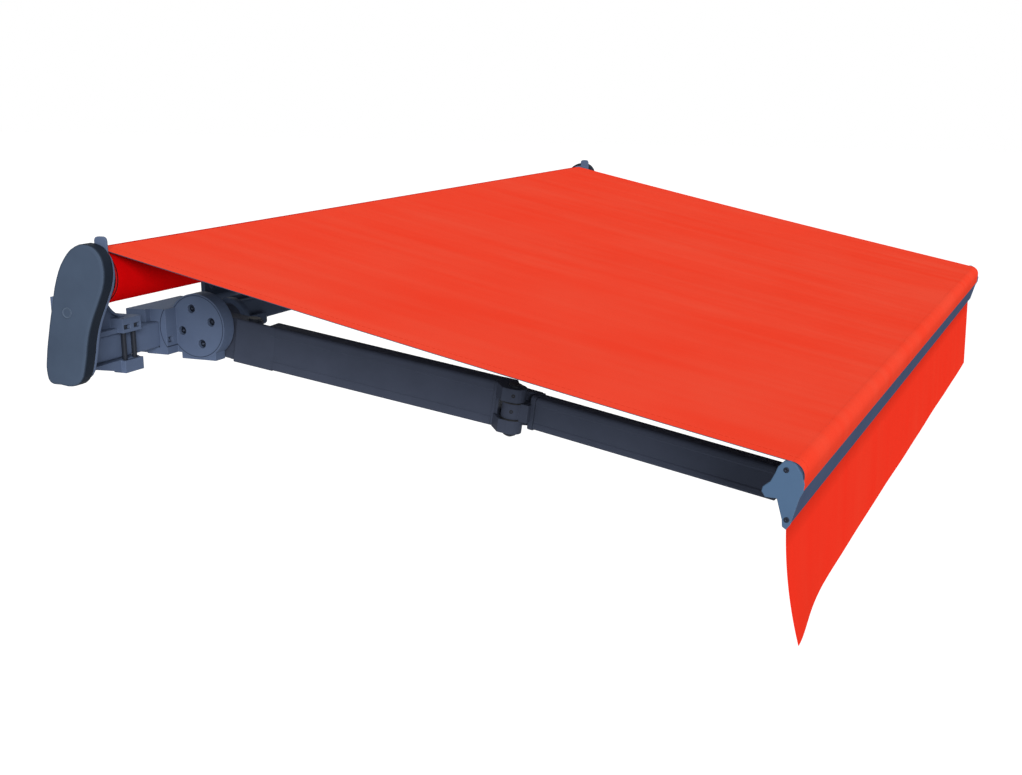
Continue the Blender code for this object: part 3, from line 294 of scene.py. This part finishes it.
def thicken(piece, thick, rim=None):
    """Gives a sheet its thickness, half to each side, with another finish on the cut edge if one is given.
    The split keeps the cut edge square, so that strips that meet show no seam."""
    if rim:
        piece.data.materials.append(rim)
    wall = piece.modifiers.new("cloth", "SOLIDIFY")
    wall.thickness = thick
    wall.offset = 0.0
    wall.use_even_offset = True
    if rim:
        wall.material_offset_rim = 1
    corner = piece.modifiers.new("corner", "EDGE_SPLIT")
    corner.split_angle = radians(40)
    return piece


def taut_strip(name, start, end, rows):
    """A stretch of the canopy between the roll and the nose. A point lies its distance v down the straight
    fall, and below it by (SAG + RIPPLE * ripple) * sin(pi v / run). The ripple is a long wave across the
    width times a slower swell."""
    across = np.concatenate((
        np.linspace(-CLOTH_HALF, HEM_WIDE - CLOTH_HALF, 4),
        np.linspace(FINE_BAND - CLOTH_HALF, CLOTH_HALF - FINE_BAND, 90),
        np.linspace(CLOTH_HALF - HEM_WIDE, CLOTH_HALF, 4)))
    down = np.linspace(start, end, rows)
    v, x = np.meshgrid(down, across, indexing="ij")
    share = np.sin(pi * v / CLOTH_RUN)
    ripple = np.sin(tau * x / RIPPLE_WIDE + 1.3 + 1.1 * v) * np.cos(tau * x / SWELL_WIDE)
    drop = SAG * share + RIPPLE * share * ripple
    direction = (cloth_front - cloth_back) / CLOTH_RUN
    y = cloth_back[0] + direction[0] * v - cloth_up[0] * drop
    z = cloth_back[1] + direction[1] * v - cloth_up[1] * drop
    points = np.stack((-x, y, z), axis=-1)
    piece = surface(name, points, np.stack((x + CLOTH_HALF, v), axis=-1), finish=red_canvas)
    return thicken(piece, CLOTH_THICK, navy_cut_edge)


canopy_rear = taut_strip("canopy_rear", 0.0, TILT_STRIP, 10)
canopy_main = taut_strip("canopy_main", TILT_STRIP, CLOTH_RUN, 60)

# The last strip bends round the nose by an arc and then lies straight down the rail's face to the groove
wrap_start = pi / 2 + CLOTH_FALL
arc_length = NOSE_MIDDLE * (NOSE_END - wrap_start)
wrap_length = arc_length + NOSE_FACE
wrap_down, wrap_across = np.meshgrid(
    np.linspace(0.0, wrap_length, 26), np.linspace(-CLOTH_HALF, CLOTH_HALF, 80), indexing="ij")
wrap_turn = wrap_start + np.minimum(wrap_down, arc_length) / NOSE_MIDDLE
face_down = np.maximum(wrap_down - arc_length, 0.0)
wrap_y = NOSE_CENTRE[0] + NOSE_MIDDLE * np.cos(wrap_turn) + face_down * sin(FACE_TILT)
wrap_z = NOSE_CENTRE[1] + NOSE_MIDDLE * np.sin(wrap_turn) - face_down * cos(FACE_TILT)
wrap_points = np.stack((-wrap_across, wrap_y, wrap_z), axis=-1)
wrap_flat = np.stack((wrap_across + CLOTH_HALF, CLOTH_RUN + wrap_down), axis=-1)
canopy_nose = surface("canopy_nose", wrap_points, wrap_flat, finish=red_canvas)
thicken(canopy_nose, CLOTH_THICK, navy_cut_edge)

# The arms pull the rail in along their own fall. The main strip rides the left knuckle and the last strip
# rides the rail.
ARM_OUT = 0.888
ARM_DROP = 0.145
ARM_FALL = atan2(ARM_DROP, ARM_OUT)
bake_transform(canopy_rear)
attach(canopy_main, "knuckle_left")
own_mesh(canopy_main)
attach(canopy_nose, "front_bar")
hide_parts("canopy")


# Roll of cloth
# The rest of the canvas is wound on the roller tube. Only its outer turn shows, with the hems lying on each
# other as a slightly thicker band at both ends, and at the ends the edges of the turns as a spiral.
TUBE_OUTER = 0.0354
LAYER = 0.0007
WOUND_THICK = 0.0006
WOUND_INSET = 0.0002
WOUND_BAND = 0.85
HEM_RISE = 0.0003
HEM_STEP = 0.003
EDGES_OUTER = ROLL_MIDDLE - 0.0022
EDGES_INSET = 0.0010
EDGES_TOOTH = 0.0008
NO_STITCHES = -0.020
# The roll and the turns' edges are the same red canvas, painted darker and deeper red than the canopy:
# painted shade of the canopy above the roll.
wound_canvas = canvas("wound_canvas", (0.550, 0.0014, 0.0022), (0.590, 0.0020, 0.0029), NO_STITCHES, 0.88)
shaded_edge_canvas = plain("shaded_edge_canvas", (0.420, 0.005, 0.006), 0.9)


def wound_turn():
    """The outer turn as a grid round the roller. Its radius falls by two layers in the turn, and rises over
    the hems by a short ramp, most of it half way round."""
    across = np.concatenate((
        np.linspace(-CLOTH_HALF, -CLOTH_HALF + FINE_BAND, 8), np.linspace(-WOUND_BAND, WOUND_BAND, 40),
        np.linspace(CLOTH_HALF - FINE_BAND, CLOTH_HALF, 8)))
    angle = np.linspace(0.0, tau, 73) + pi / 2 + CLOTH_FALL
    a, x = np.meshgrid(angle, across, indexing="ij")
    hem = np.clip((HEM_WIDE - (CLOTH_HALF - np.abs(x))) / HEM_STEP, 0.0, 1.0)
    spent = (a - angle[0]) / tau
    radius = ROLL_MIDDLE - WOUND_INSET - 2 * LAYER * spent + HEM_RISE * hem * np.sin(pi * spent)
    points = np.stack((-x, ROLL_CENTRE[0] + radius * np.cos(a), ROLL_CENTRE[1] + radius * np.sin(a)), axis=-1)
    flat = np.stack((x + CLOTH_HALF, -ROLL_MIDDLE * (a - angle[0])), axis=-1)
    return thicken(surface("wound_turn", points, flat, finish=wound_canvas), WOUND_THICK, shaded_edge_canvas)


def wound_edges(name, side):
    """The turns' edges at one end of the roll: rings from the tube to the outer turn. A point's height over
    the end is abs(sin) of pi times its radius in layers plus its angle in turns, so that one ridge winds
    inwards as a spiral."""
    radius = np.linspace(TUBE_OUTER, EDGES_OUTER, 25)
    angle = np.linspace(0.0, tau, 64, endpoint=False)
    r, a = np.meshgrid(radius, angle, indexing="ij")
    tooth = EDGES_TOOTH * np.abs(np.sin(pi * ((r - TUBE_OUTER) / LAYER + a / tau)))
    points = np.stack((side * (CLOTH_HALF - EDGES_INSET + tooth), ROLL_CENTRE[0] + r * np.cos(a),
                       ROLL_CENTRE[1] + r * np.sin(a)), axis=-1)
    if side > 0:
        points = points[:, ::-1]
    return surface(name, points, around=True, finish=shaded_edge_canvas)


roll_turn = wound_turn()
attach(roll_turn, "roller")
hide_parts("fabric_roll")
for word, side in (("left", -1), ("right", 1)):
    piece = wound_edges("wound_edges_" + word, side)
    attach(piece, "roller")


# Valance
# A strip of the same canvas hangs from a second groove of the front rail by a sewn-in cord. Its sides have a
# narrow hem. It hangs nearly flat, and its free left corner stands a little forward.
VALANCE_Y = -1.1068
VALANCE_TOP = -0.1229
VALANCE_DROP = 0.150
VALANCE_THICK = 0.0007
VALANCE_STITCH = 0.006
VALANCE_ROWS = 26
CORNER_FLARE = 0.020
FLARE_FADE = 0.13
LONG_WAVE = 0.0004
LONG_PITCH = 0.61
SHORT_WAVE = 0.0002
SHORT_PITCH = 0.27


def hanging_strip():
    """Columns along the rail, rows down. The strip stands forward of its plane by two shallow waves and a
    flare at the left corner, which dies out along the rail. Both grow with the square of the share of the
    drop, and the rows keep their distance along the cloth."""
    across = np.linspace(-CLOTH_HALF, CLOTH_HALF, 200)
    share = np.linspace(0.0, 1.0, VALANCE_ROWS)
    s, x = np.meshgrid(share, across, indexing="ij")
    from_left = x + CLOTH_HALF
    waves = LONG_WAVE * np.sin(tau * x / LONG_PITCH + 0.8) + SHORT_WAVE * np.sin(tau * x / SHORT_PITCH + 2.0)
    flare = CORNER_FLARE * np.exp(-(from_left / FLARE_FADE) ** 1.6)
    forward = (waves + flare) * s ** 2.0
    slope = np.gradient(forward, VALANCE_DROP * share, axis=0)
    fall = np.cumsum(np.sqrt(np.clip(1.0 - slope ** 2, 0.2, 1.0)), axis=0)
    fall = (fall - fall[:1]) / (VALANCE_ROWS - 1) * VALANCE_DROP
    points = np.stack((x, VALANCE_Y - forward, VALANCE_TOP - fall), axis=-1)
    flat = np.stack((from_left, s * VALANCE_DROP), axis=-1)
    return thicken(surface("valance_cloth", points, flat, finish=shaded_valance_canvas), VALANCE_THICK)


# The valance is the same canvas, painted a darker red than the canopy as painted shade of its hanging face.
# Its top is also painted darker as shade under the rail.
shaded_valance_canvas = canvas("shaded_valance_canvas", (0.780, 0.031, 0.014), (0.770, 0.039, 0.018), VALANCE_STITCH,
                        rail_shade=(0.030, 0.0))
valance_cloth = hanging_strip()
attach(valance_cloth, "front_bar")
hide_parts("valance")


# Castings
# The wall brackets, roller brackets, jaws and shoulder brackets are aluminium castings, blasted and powder
# coated slate blue. The bar has the same coat. Their rounded edges get a painted highlight, and the stretch
# between the shoulders is painted darker as the canopy's shade.
def coat_effect():
    """Powder coat: a fine orange peel for the height, a slow drift of the shade, and an edge mask that comes
    from how far a rounded normal turns away from the true one. The mask lays the edge colour on the rounded
    edges: a painted highlight where that colour is paler than the coat, painted shade where it is darker."""
    group, given, result = effect(
        "powder_coat",
        [("Place", "Vector"), ("Peel", "Float"), ("Edge", "Float"), ("Dark", "Color"), ("Light", "Color"),
         ("Painted_Edge", "Color")],
        [("Color", "Color"), ("Roughness", "Float"), ("Height", "Float"), ("Normal", "Vector")])
    peel = noise(group, given["Place"], given["Peel"], 3.0)
    drift = noise(group, given["Place"], 9.0, 4.0, 0.6)
    share = remap(group, drift, 0.3, 0.7)
    colour = mix(group, share, given["Dark"], given["Light"])
    soft = wire(group, "Bevel", {"Radius": given["Edge"]}, samples=4).outputs[0]
    true = wire(group, "NewGeometry").outputs["True Normal"]
    turn_off = wire(group, "VectorMath", {0: soft, 1: true}, operation="DOT_PRODUCT").outputs["Value"]
    edge = remap(group, turn_off, 0.97, 0.80, 0.0, 0.55)
    # Painted highlight on the rounded edges, and painted shade there where the edge colour is darker than the
    # coat.
    painted_edge = mix(group, edge, colour, given["Painted_Edge"])
    rough = remap(group, peel, 0.3, 0.7, 0.42, 0.56)
    group.links.new(painted_edge, result["Color"])
    group.links.new(rough, result["Roughness"])
    group.links.new(peel, result["Height"])
    group.links.new(soft, result["Normal"])
    return group


powder_coat = coat_effect()


def coated(name, dark, light, painted_edge, edge, peel, bump, line=None, flank=None, gloss=0.015):
    """A powder coated or moulded part. edge is the width of its rounded edges, which get the edge colour as a
    painted highlight where it is paler than the coat and as painted shade where it is darker, and peel the
    scale of its grain.
    line masks a turned line, which is lower and painted darker as shade in it, and flank masks a stretch that
    is painted darker as shade."""
    finish, tree, shader = blank(name)
    place = wire(tree, "TexCoord").outputs["Object"]
    coat = wire(tree, "Group", {"Place": place, "Peel": peel, "Edge": edge, "Dark": (*dark, 1.0),
                                "Light": (*light, 1.0), "Painted_Edge": (*painted_edge, 1.0)}, node_tree=powder_coat).outputs
    colour = coat["Color"]
    height = coat["Height"]
    if flank:
        # Painted shade on the stretch that the mask marks.
        stretch_shade = tuple(0.3 * c for c in dark) + (1.0,)
        colour = mix(tree, flank(tree, place), colour, stretch_shade)
    if line:
        mask = line(tree, place)
        # Painted shade in the turned groove: the line is painted darker as well as lowered.
        shade_colour = tuple(0.35 * c for c in dark) + (1.0,)
        colour = mix(tree, mask, colour, shade_colour)
        height = calc(tree, "MULTIPLY_ADD", mask, -6.0, height)
    tree.links.new(colour, shader.inputs["Base Color"])
    tree.links.new(coat["Roughness"], shader.inputs["Roughness"])
    relief = wire(tree, "Bump", {"Height": height, "Normal": coat["Normal"], "Strength": bump,
                                 "Distance": 0.0004}).outputs[0]
    tree.links.new(relief, shader.inputs["Normal"])
    shader.inputs["Specular IOR Level"].default_value = gloss
    return finish


def dress(finish, *names):
    """Gives CAD nodes their finish."""
    for name in names:
        for place in nodes[name].material_slots:
            place.material = finish


ARM_X = 0.62
CHEEK_MIDDLE = (-0.110, 0.012)
CHEEK_LINE = 0.0485
CHEEK_LINE_HALF = 0.0006
SHADE_FROM = 0.610
SHADE_FADE = 0.04
SHADE_MOST = 0.70


def side_wall(tree, place, face, rounding, most=1.0):
    """A mask of what lies further in than a face that both ends of the awning have at the same distance from
    the middle. It is most further in, and 0 from a quarter of the rounding before the face."""
    along = wire(tree, "SeparateXYZ", {0: place}).outputs["X"]
    along = calc(tree, "ABSOLUTE", along)
    return remap(tree, along, face - rounding, face - rounding / 4, most, 0.0)


def between_shoulders(tree, place):
    """The stretch between the shoulders, which is painted darker as the shade that the canopy casts on it."""
    return side_wall(tree, place, SHADE_FROM, SHADE_FADE, SHADE_MOST)


def cheek_line(tree, place):
    """A turned line near the rim of the round cheeks, a shallow groove that is painted darker as shade in it:
    1 where the distance from the tilt axis is the line's radius, within its half width."""
    part = wire(tree, "SeparateXYZ", {0: place}).outputs
    y = calc(tree, "SUBTRACT", part["Y"], CHEEK_MIDDLE[0])
    z = calc(tree, "SUBTRACT", part["Z"], CHEEK_MIDDLE[1])
    y = calc(tree, "MULTIPLY", y, y)
    away = calc(tree, "MULTIPLY_ADD", z, z, y)
    away = calc(tree, "SQRT", away)
    return calc(tree, "COMPARE", away, CHEEK_LINE, CHEEK_LINE_HALF)


slate = dict(dark=(0.080, 0.108, 0.178), light=(0.098, 0.133, 0.215), painted_edge=(0.150, 0.195, 0.300),
             edge=0.0014, peel=900.0, bump=0.25)
# Between the shoulders the bar, the wall brackets and the cheeks are painted darker: painted shade of the
# canopy.
slate_casting = coated("slate_casting", **slate, flank=between_shoulders)
# The cheeks' turned groove is painted darker as shade in it.
cheek_casting = coated("cheek_casting", **slate, line=cheek_line, flank=between_shoulders)
front_casting = coated("front_casting", **slate)
dress(slate_casting, "torsion_bar", "wall_bracket_centre", "wall_bracket_left", "wall_bracket_right")
for word in ("left", "right"):
    dress(slate_casting, "roller_bracket_" + word, "roller_clamp_" + word, "shoulder_clamp_" + word)
    dress(cheek_casting, "shoulder_bracket_" + word)
    dress(front_casting, "front_bracket_" + word)


# Arm tubes and elbows
# The four arm tubes are extruded aluminium, navy powder coated, with a shallow groove along each flank. The
# knuckle, the hinge, the elbow and the end castings have the same coat.
navy_coat = coated("navy_coat", (0.043, 0.052, 0.078), (0.053, 0.063, 0.095), (0.090, 0.108, 0.150),
                   edge=0.0010, peel=500.0, bump=0.06)
for word in ("left", "right"):
    dress(navy_coat, "pitch_knuckle_" + word, "arm_root_" + word)
    dress(navy_coat, "rear_arm_" + word, "forearm_" + word, "elbow_fork_" + word, "elbow_eye_" + word,
          "forearm_end_" + word)


# Arm flank at the shoulder
# Behind its root the arm's outer flank runs on past the lugs of the hinge. It belongs to the same extruded
# aluminium and has the same coat, lips and shallow groove as the tube.
SHOULDER = (ARM_X, -0.180, -0.015)
LINK_TURN = radians(1.0)
LINK_LONG = hypot(ARM_OUT, ARM_DROP) / 2 / cos(LINK_TURN)
PIN_OFFSET = 0.020
ARM_TURN = LINK_TURN + asin(PIN_OFFSET / LINK_LONG)
TAIL_BACK = -0.0215
TAIL_END = 0.0402
TAIL_INNER = 0.0139
TAIL_LIP = 0.0186
TAIL_GROOVE = 0.0183
TAIL_TALL = 0.0353
TAIL_CORNER = 0.0030
GROOVE_TALL = 0.0206
GROOVE_STEP = 0.0006
TAIL_TAPER = 0.0060
TAPER_GROOVE = 0.0169


def arm_axes(side, inward_turn):
    """An arm half's own directions: along it, out of its outer flank and up. It is turned about the arms'
    common upward direction, inwards from straight ahead."""
    ahead = np.array((0.0, -cos(ARM_FALL), -sin(ARM_FALL)))
    outward = np.array((side, 0.0, 0.0))
    along = ahead * cos(inward_turn) - outward * sin(inward_turn)
    across = outward * cos(inward_turn) + ahead * sin(inward_turn)
    return along, across, np.array((0.0, -sin(ARM_FALL), cos(ARM_FALL)))


def arm_tail(name, side):
    """The flank's section, swept along the arm. Half the section is the inner edge, a quarter circle round
    the corner, the lip and the step down to the groove, and the other half is its mirror image. The back
    end is closed, and at the front end the groove deepens over the taper."""
    corner = np.linspace(pi / 2, 0.0, 5)
    half = [(TAIL_INNER, TAIL_TALL)]
    half += [(TAIL_LIP - TAIL_CORNER * (1 - cos(a)), TAIL_TALL - TAIL_CORNER * (1 - sin(a))) for a in corner]
    half += [(TAIL_LIP, GROOVE_TALL + GROOVE_STEP), (TAIL_GROOVE, GROOVE_TALL)]
    section = np.array(half + [(w, -h) for w, h in reversed(half)])
    if side > 0:
        section = section[::-1]
    along, across, upward = arm_axes(side, ARM_TURN)
    closed = section * (0.0, 1.0) + ((TAIL_INNER + TAIL_GROOVE) / 2, 0.0)
    taper = section - (TAIL_GROOVE - TAPER_GROOVE, 0.0) * (np.abs(section[:, 1:]) <= GROOVE_TALL)
    start = np.array((side * SHOULDER[0], SHOULDER[1], SHOULDER[2]))
    rows = [start + along * at + np.outer(shape[:, 0], across) + np.outer(shape[:, 1], upward)
            for at, shape in ((TAIL_BACK, closed), (TAIL_BACK, section), (TAIL_END, section),
                              (TAIL_END + TAIL_TAPER, taper))]
    piece = surface(name, np.array(rows), around=True, finish=navy_coat)
    piece.data.set_sharp_from_angle(angle=radians(30))
    return piece


for word, side in (("left", -1), ("right", 1)):
    piece = arm_tail("arm_tail_" + word, side)
    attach(piece, "rear_arm_" + word)


# Front rail and its caps
# The rail is an extruded aluminium section, powder coated blue. Each end is closed by a moulded cap of a
# lighter blue plastic, held by two countersunk screws in the rail's screw channels.
CAP_FACE = 0.9014
CAP_SCREWS = ((-1.1060, -0.0530), (-1.1080, -0.1136))
CAP_SCREW_RADIUS = 0.0034
CAP_SCREW_RISE = 0.0009
CAP_SCREW_SOCKET = 0.0014
rail_coat = coated("rail_coat", (0.049, 0.068, 0.120), (0.059, 0.081, 0.140), (0.024, 0.036, 0.066),
                   edge=0.0008, peel=500.0, bump=0.06, gloss=0.0)
cap_plastic = coated("cap_plastic", (0.061, 0.108, 0.186), (0.070, 0.124, 0.212), (0.026, 0.050, 0.090),
                     edge=0.0010, peel=1200.0, bump=0.15)
dress(rail_coat, "front_rail")
dress(cap_plastic, "front_cap_left", "front_cap_right")
black_zinc = plain("black_zinc", (0.020, 0.026, 0.042), 0.38, 0.6)


def screw_head(name, centre, normal, radius, rise, socket, finish):
    """A round head turned about its axis: the profile goes up the side, over a rounded rim and down into a
    hexagonal socket. The socket's radius follows a hexagon, and the other rings are circles."""
    normal = np.array(normal, float)
    first = np.cross(normal, (0.0, 0.0, 1.0) if abs(normal[2]) < 0.9 else (1.0, 0.0, 0.0))
    first /= np.linalg.norm(first)
    second = np.cross(normal, first)
    angle = np.linspace(0.0, tau, 36, endpoint=False)
    hexagon = cos(pi / 6) / np.cos((angle % (pi / 3)) - pi / 6)
    circle = np.ones_like(angle)
    floor_at = rise * 0.1
    rings = ((0.0, radius * circle), (rise * 0.7, radius * circle), (rise, radius * 0.88 * circle),
             (rise, socket * 1.15 * circle), (rise, socket * hexagon), (floor_at, socket * 0.96 * hexagon),
             (floor_at, 0.0 * circle))
    rows = [np.array(centre) + np.outer(ring * np.cos(angle), first) + np.outer(ring * np.sin(angle), second)
            + height * normal for height, ring in rings]
    return surface(name, np.array(rows), around=True, finish=finish)


for word, side in (("left", -1), ("right", 1)):
    for number, (y, z) in enumerate(CAP_SCREWS):
        piece = screw_head(f"cap_screw_{word}_{number + 1}", (side * CAP_FACE, y, z), (side, 0, 0),
                           CAP_SCREW_RADIUS, CAP_SCREW_RISE, CAP_SCREW_SOCKET, black_zinc)
        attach(piece, "front_bar")


# Screws of the shoulder bracket
# Four cap screws of black zinc plated steel sit in counterbores of each round cheek and clamp the casting's
# halves.
CHEEK_FACE = ARM_X + 0.0482
CHEEK_SCREW_CIRCLE = 0.0285
CHEEK_SCREW_TURN = 17
CHEEK_SCREW_SUNK = 0.0078
CHEEK_SCREW_RADIUS = 0.0055
CHEEK_SCREW_RISE = 0.0036
CHEEK_SCREW_SOCKET = 0.0026
for word, side in (("left", -1), ("right", 1)):
    for number in range(4):
        turn_at = radians(CHEEK_SCREW_TURN + 90 * number)
        centre = (side * (CHEEK_FACE - CHEEK_SCREW_SUNK), CHEEK_MIDDLE[0] - CHEEK_SCREW_CIRCLE * cos(turn_at),
                  CHEEK_MIDDLE[1] + CHEEK_SCREW_CIRCLE * sin(turn_at))
        piece = screw_head(f"cheek_screw_{word}_{number + 1}", centre, (side, 0, 0), CHEEK_SCREW_RADIUS,
                           CHEEK_SCREW_RISE, CHEEK_SCREW_SOCKET, black_zinc)
        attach(piece, "frame")


# Elbow washers, plugs and webs
# Black plastic rings part the forearm's eye from the ears of the fork, and plugs close the grease holes. Cast
# webs stiffen the eye's neck on the inner side, above and below, and clear the ears when the arm folds.
ELBOW = (ARM_X - LINK_LONG * sin(LINK_TURN), SHOULDER[1] - ARM_OUT / 2, SHOULDER[2] - ARM_DROP / 2)
EYE_RADIUS = 0.0165
EAR_RADIUS = 0.0175
EAR_LOW = 0.0140
EAR_MIDDLE = 0.0245
RING_RADIUS = 0.0180
RING_BORE = EYE_RADIUS - 0.002
RING_TALL = 0.0020
RING_SUNK = 0.0002
WEB_NEAR = 0.0190
WEB_FAR = 0.0286
WEB_IN = 0.0355
WEB_OUT = 0.0300
WEB_LOW = EAR_LOW - 0.0010
WEB_TALL = 0.0262
WEB_START = radians(56.0)
PLUG_TURN = radians(20)
PLUG_RADIUS = 0.0028
PLUG_RISE = 0.0004
PLUG_SOCKET = 0.0012
PLUG_SUNK = 0.0003
ring_plastic = plain("ring_plastic", (0.014, 0.015, 0.018), 0.6)


def elbow_ring(name, middle, upward, low, side):
    """A flat ring turned about the elbow's pin: up the bore, out over the top, down the outside."""
    turn = np.linspace(0.0, tau, 40, endpoint=False) * side
    first = np.cross(upward, (1.0, 0.0, 0.0))
    second = np.cross(upward, first)
    circle = np.outer(np.cos(turn), first) + np.outer(np.sin(turn), second)
    high = low + RING_TALL
    corners = ((RING_BORE, low), (RING_BORE, high), (RING_RADIUS, high), (RING_RADIUS, low))
    rows = np.array([middle + radius * circle + height * upward for radius, height in corners])
    return surface(name, rows, around=True, along=True, finish=ring_plastic)


def elbow_web(name, middle, axes, low, high, side):
    """A plate with an outline seen from above: an arc round the ear, then straight to the collar and back.
    The first and the last row draw both faces together to one point in the plate's middle."""
    along, across, upward = axes
    arc = np.linspace(WEB_START, pi / 2, 9)
    outline = [(WEB_NEAR * cos(a), WEB_NEAR * sin(a)) for a in arc]
    outline += [(0.0, WEB_IN), (WEB_FAR, WEB_IN), (WEB_FAR, WEB_OUT)]
    outline = np.array(outline[::-1] if side > 0 else outline)
    heart = np.array((0.6 * WEB_FAR, 0.85 * WEB_IN)) + 0.0 * outline
    rows = [middle + np.outer(flat[:, 0], along) - np.outer(flat[:, 1], across) + height * upward
            for flat, height in ((heart, low), (outline, low), (outline, high), (heart, high))]
    piece = surface(name, np.array(rows), around=True, finish=navy_coat)
    piece.data.set_sharp_from_angle(angle=radians(30))
    return piece


for word, side in (("left", -1), ("right", 1)):
    middle = np.array((side * ELBOW[0], ELBOW[1], ELBOW[2]))
    axes = arm_axes(side, -ARM_TURN)
    along, across, upward = axes
    facing = across * cos(PLUG_TURN) + along * sin(PLUG_TURN)
    for place, level in (("upper", 1), ("lower", -1)):
        low = EAR_LOW - RING_SUNK - RING_TALL if level > 0 else RING_SUNK - EAR_LOW
        ring = elbow_ring(f"elbow_ring_{word}_{place}", middle, upward, low, side)
        low, high = sorted((level * WEB_LOW, level * WEB_TALL))
        web = elbow_web(f"elbow_web_{word}_{place}", middle, axes, low, high, side)
        for piece, slot in ((ring, "black_plastic"), (web, "arm_coating")):
            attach(piece, "forearm_" + word)
    for place, reach, rise, body in (("eye", EYE_RADIUS, 0.0, "forearm_"),
                                     ("ear", EAR_RADIUS, EAR_MIDDLE, "rear_arm_")):
        centre = middle + facing * (reach - PLUG_SUNK) + upward * rise
        piece = screw_head(f"grease_plug_{word}_{place}", centre, facing, PLUG_RADIUS, PLUG_RISE, PLUG_SOCKET,
                           ring_plastic)
        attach(piece, body + word)


# Pins, bolts, springs and the crank eye
# The pins and bolts are turned steel and the springs are coiled wire, zinc plated and passivated dark. On the
# shoulder pins and clamp bolts the near black is also painted shade, the shade they lie in under the canopy
# and in front of the bar. The crank eye is bent from round bar and the roller tube is rolled sheet, both
# bright zinc plated.
# Near black steel: its own dark finish, and painted shade on the shoulder pins and clamp bolts.
dark_steel_and_shade = plain("dark_steel_and_shade", (0.018, 0.022, 0.032), 0.50)
zinc = plain("zinc", (0.46, 0.47, 0.49), 0.34, 1.0)
for word in ("left", "right"):
    dress(dark_steel_and_shade, "shoulder_pin_" + word, "elbow_pin_" + word, "front_pin_" + word, "pitch_pin_" + word,
          "clamp_bolt_" + word + "_1", "clamp_bolt_" + word + "_2", "arm_spring_" + word)
dress(zinc, "crank_eye", "roller_tube")


# Plugs and gearbox
# The plugs in the ends of the bar and of the roller are pressed-in black plastic, and the gearbox has a
# moulded case of the same plastic.
black_plastic = coated("black_plastic", (0.016, 0.018, 0.022), (0.020, 0.022, 0.026), (0.05, 0.05, 0.06),
                       edge=0.0008, peel=1200.0, bump=0.2)
dress(black_plastic, "bar_plug_left", "bar_plug_right", "roller_plug_left", "roller_plug_right", "gearbox")


# End covers
# A moulded shell of slate blue plastic snaps over each roller bracket. Its face is slightly domed, its rim is
# rounded, and a small round boss on the face is left plain.
COVER_OUT = 0.9288
COVER_ROUNDING = 0.004
BOSS = (-0.0930, 0.0739)
BOSS_PROFILE = ((-0.0006, 0.0082), (0.0005, 0.0082), (0.0009, 0.0076), (0.0009, 0.0070), (0.0003, 0.0064),
                (0.0006, 0.0040), (0.0007, 0.0))


def cover_wall_shade(tree, place):
    """The side wall of the cover, which is painted darker than the face as shade."""
    return side_wall(tree, place, COVER_OUT, COVER_ROUNDING)


# The cover's side wall is painted darker than its face as shade, and its rounded rim gets a painted highlight
# from the edge colour.
cover_plastic = coated("cover_plastic", (0.044, 0.062, 0.096), (0.055, 0.078, 0.120), (0.150, 0.190, 0.250),
                       edge=0.0016, peel=1500.0, bump=0.18, flank=cover_wall_shade)
dress(cover_plastic, "end_cover_left", "end_cover_right")


def cover_boss(name, side):
    """A plain raised disc, turned about its middle: rim, shallow ditch and a slightly domed face. The
    profile's points are a height over the cover and a radius."""
    angle = np.linspace(0.0, tau, 48, endpoint=False)
    rows = [np.stack((np.full_like(angle, side * (COVER_OUT + rise)), BOSS[0] + side * reach * np.cos(angle),
                      BOSS[1] + reach * np.sin(angle)), axis=-1) for rise, reach in BOSS_PROFILE]
    return surface(name, np.array(rows), around=True, finish=cover_plastic)


for word, side in (("left", -1), ("right", 1)):
    piece = cover_boss("cover_boss_" + word, side)
    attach(piece, "frame")


# Floor and light
# A white studio: a pale floor far below the awning, a white surround, one broad soft lamp from the front
# left. Floor and surround are brighter where they are seen than where they only give light.
FLOOR = -3.0
FLOOR_HALF = 60.0
FLOOR_GLOW = 0.45
SURROUND_LIGHT = 0.55
SURROUND_SEEN = 1.0
LAMP_STRENGTH = 3.0
LAMP_WIDE = radians(25)
TO_LAMP = (-0.76, -0.58, 0.30)


def seen_by_eye(tree):
    """1 for the rays from the camera, from a mirror and through glass, 0 for the rays that gather light."""
    rays = wire(tree, "LightPath").outputs
    seen = calc(tree, "MAXIMUM", rays["Is Camera Ray"], rays["Is Glossy Ray"])
    return calc(tree, "MAXIMUM", seen, rays["Is Transmission Ray"])


floor_finish, tree, shader = blank("pale_floor")
shader.inputs["Base Color"].default_value = (0.80, 0.80, 0.80, 1.0)
shader.inputs["Roughness"].default_value = 0.9
shader.inputs["Specular IOR Level"].default_value = 0.0
shader.inputs["Emission Color"].default_value = (1.0, 1.0, 1.0, 1.0)
glow = calc(tree, "MULTIPLY", seen_by_eye(tree), FLOOR_GLOW)
tree.links.new(glow, shader.inputs["Emission Strength"])
floor_line = np.linspace(-FLOOR_HALF, FLOOR_HALF, 3)
floor_grid = np.stack(np.meshgrid(floor_line, floor_line), axis=-1)
floor_points = np.concatenate((floor_grid, np.full((3, 3, 1), FLOOR)), axis=-1)
floor = surface("floor", floor_points, finish=floor_finish)

world = bpy.data.worlds.new("white_surround")
world.use_nodes = True
scene.world = world
tree = world.node_tree
strength = remap(tree, seen_by_eye(tree), 0.0, 1.0, SURROUND_LIGHT, SURROUND_SEEN)
background = tree.nodes["Background"]
background.inputs["Color"].default_value = (1.0, 1.0, 1.0, 1.0)
tree.links.new(strength, background.inputs["Strength"])

lamp_data = bpy.data.lights.new("soft_lamp", "SUN")
lamp_data.energy = LAMP_STRENGTH
lamp_data.angle = LAMP_WIDE
lamp = bpy.data.objects.new("soft_lamp", lamp_data)
lamp.rotation_euler = (atan2(hypot(TO_LAMP[0], TO_LAMP[1]), TO_LAMP[2]), 0.0, atan2(TO_LAMP[0], -TO_LAMP[1]))
scene.collection.objects.link(lamp)

scene.view_settings.view_transform = "Standard"
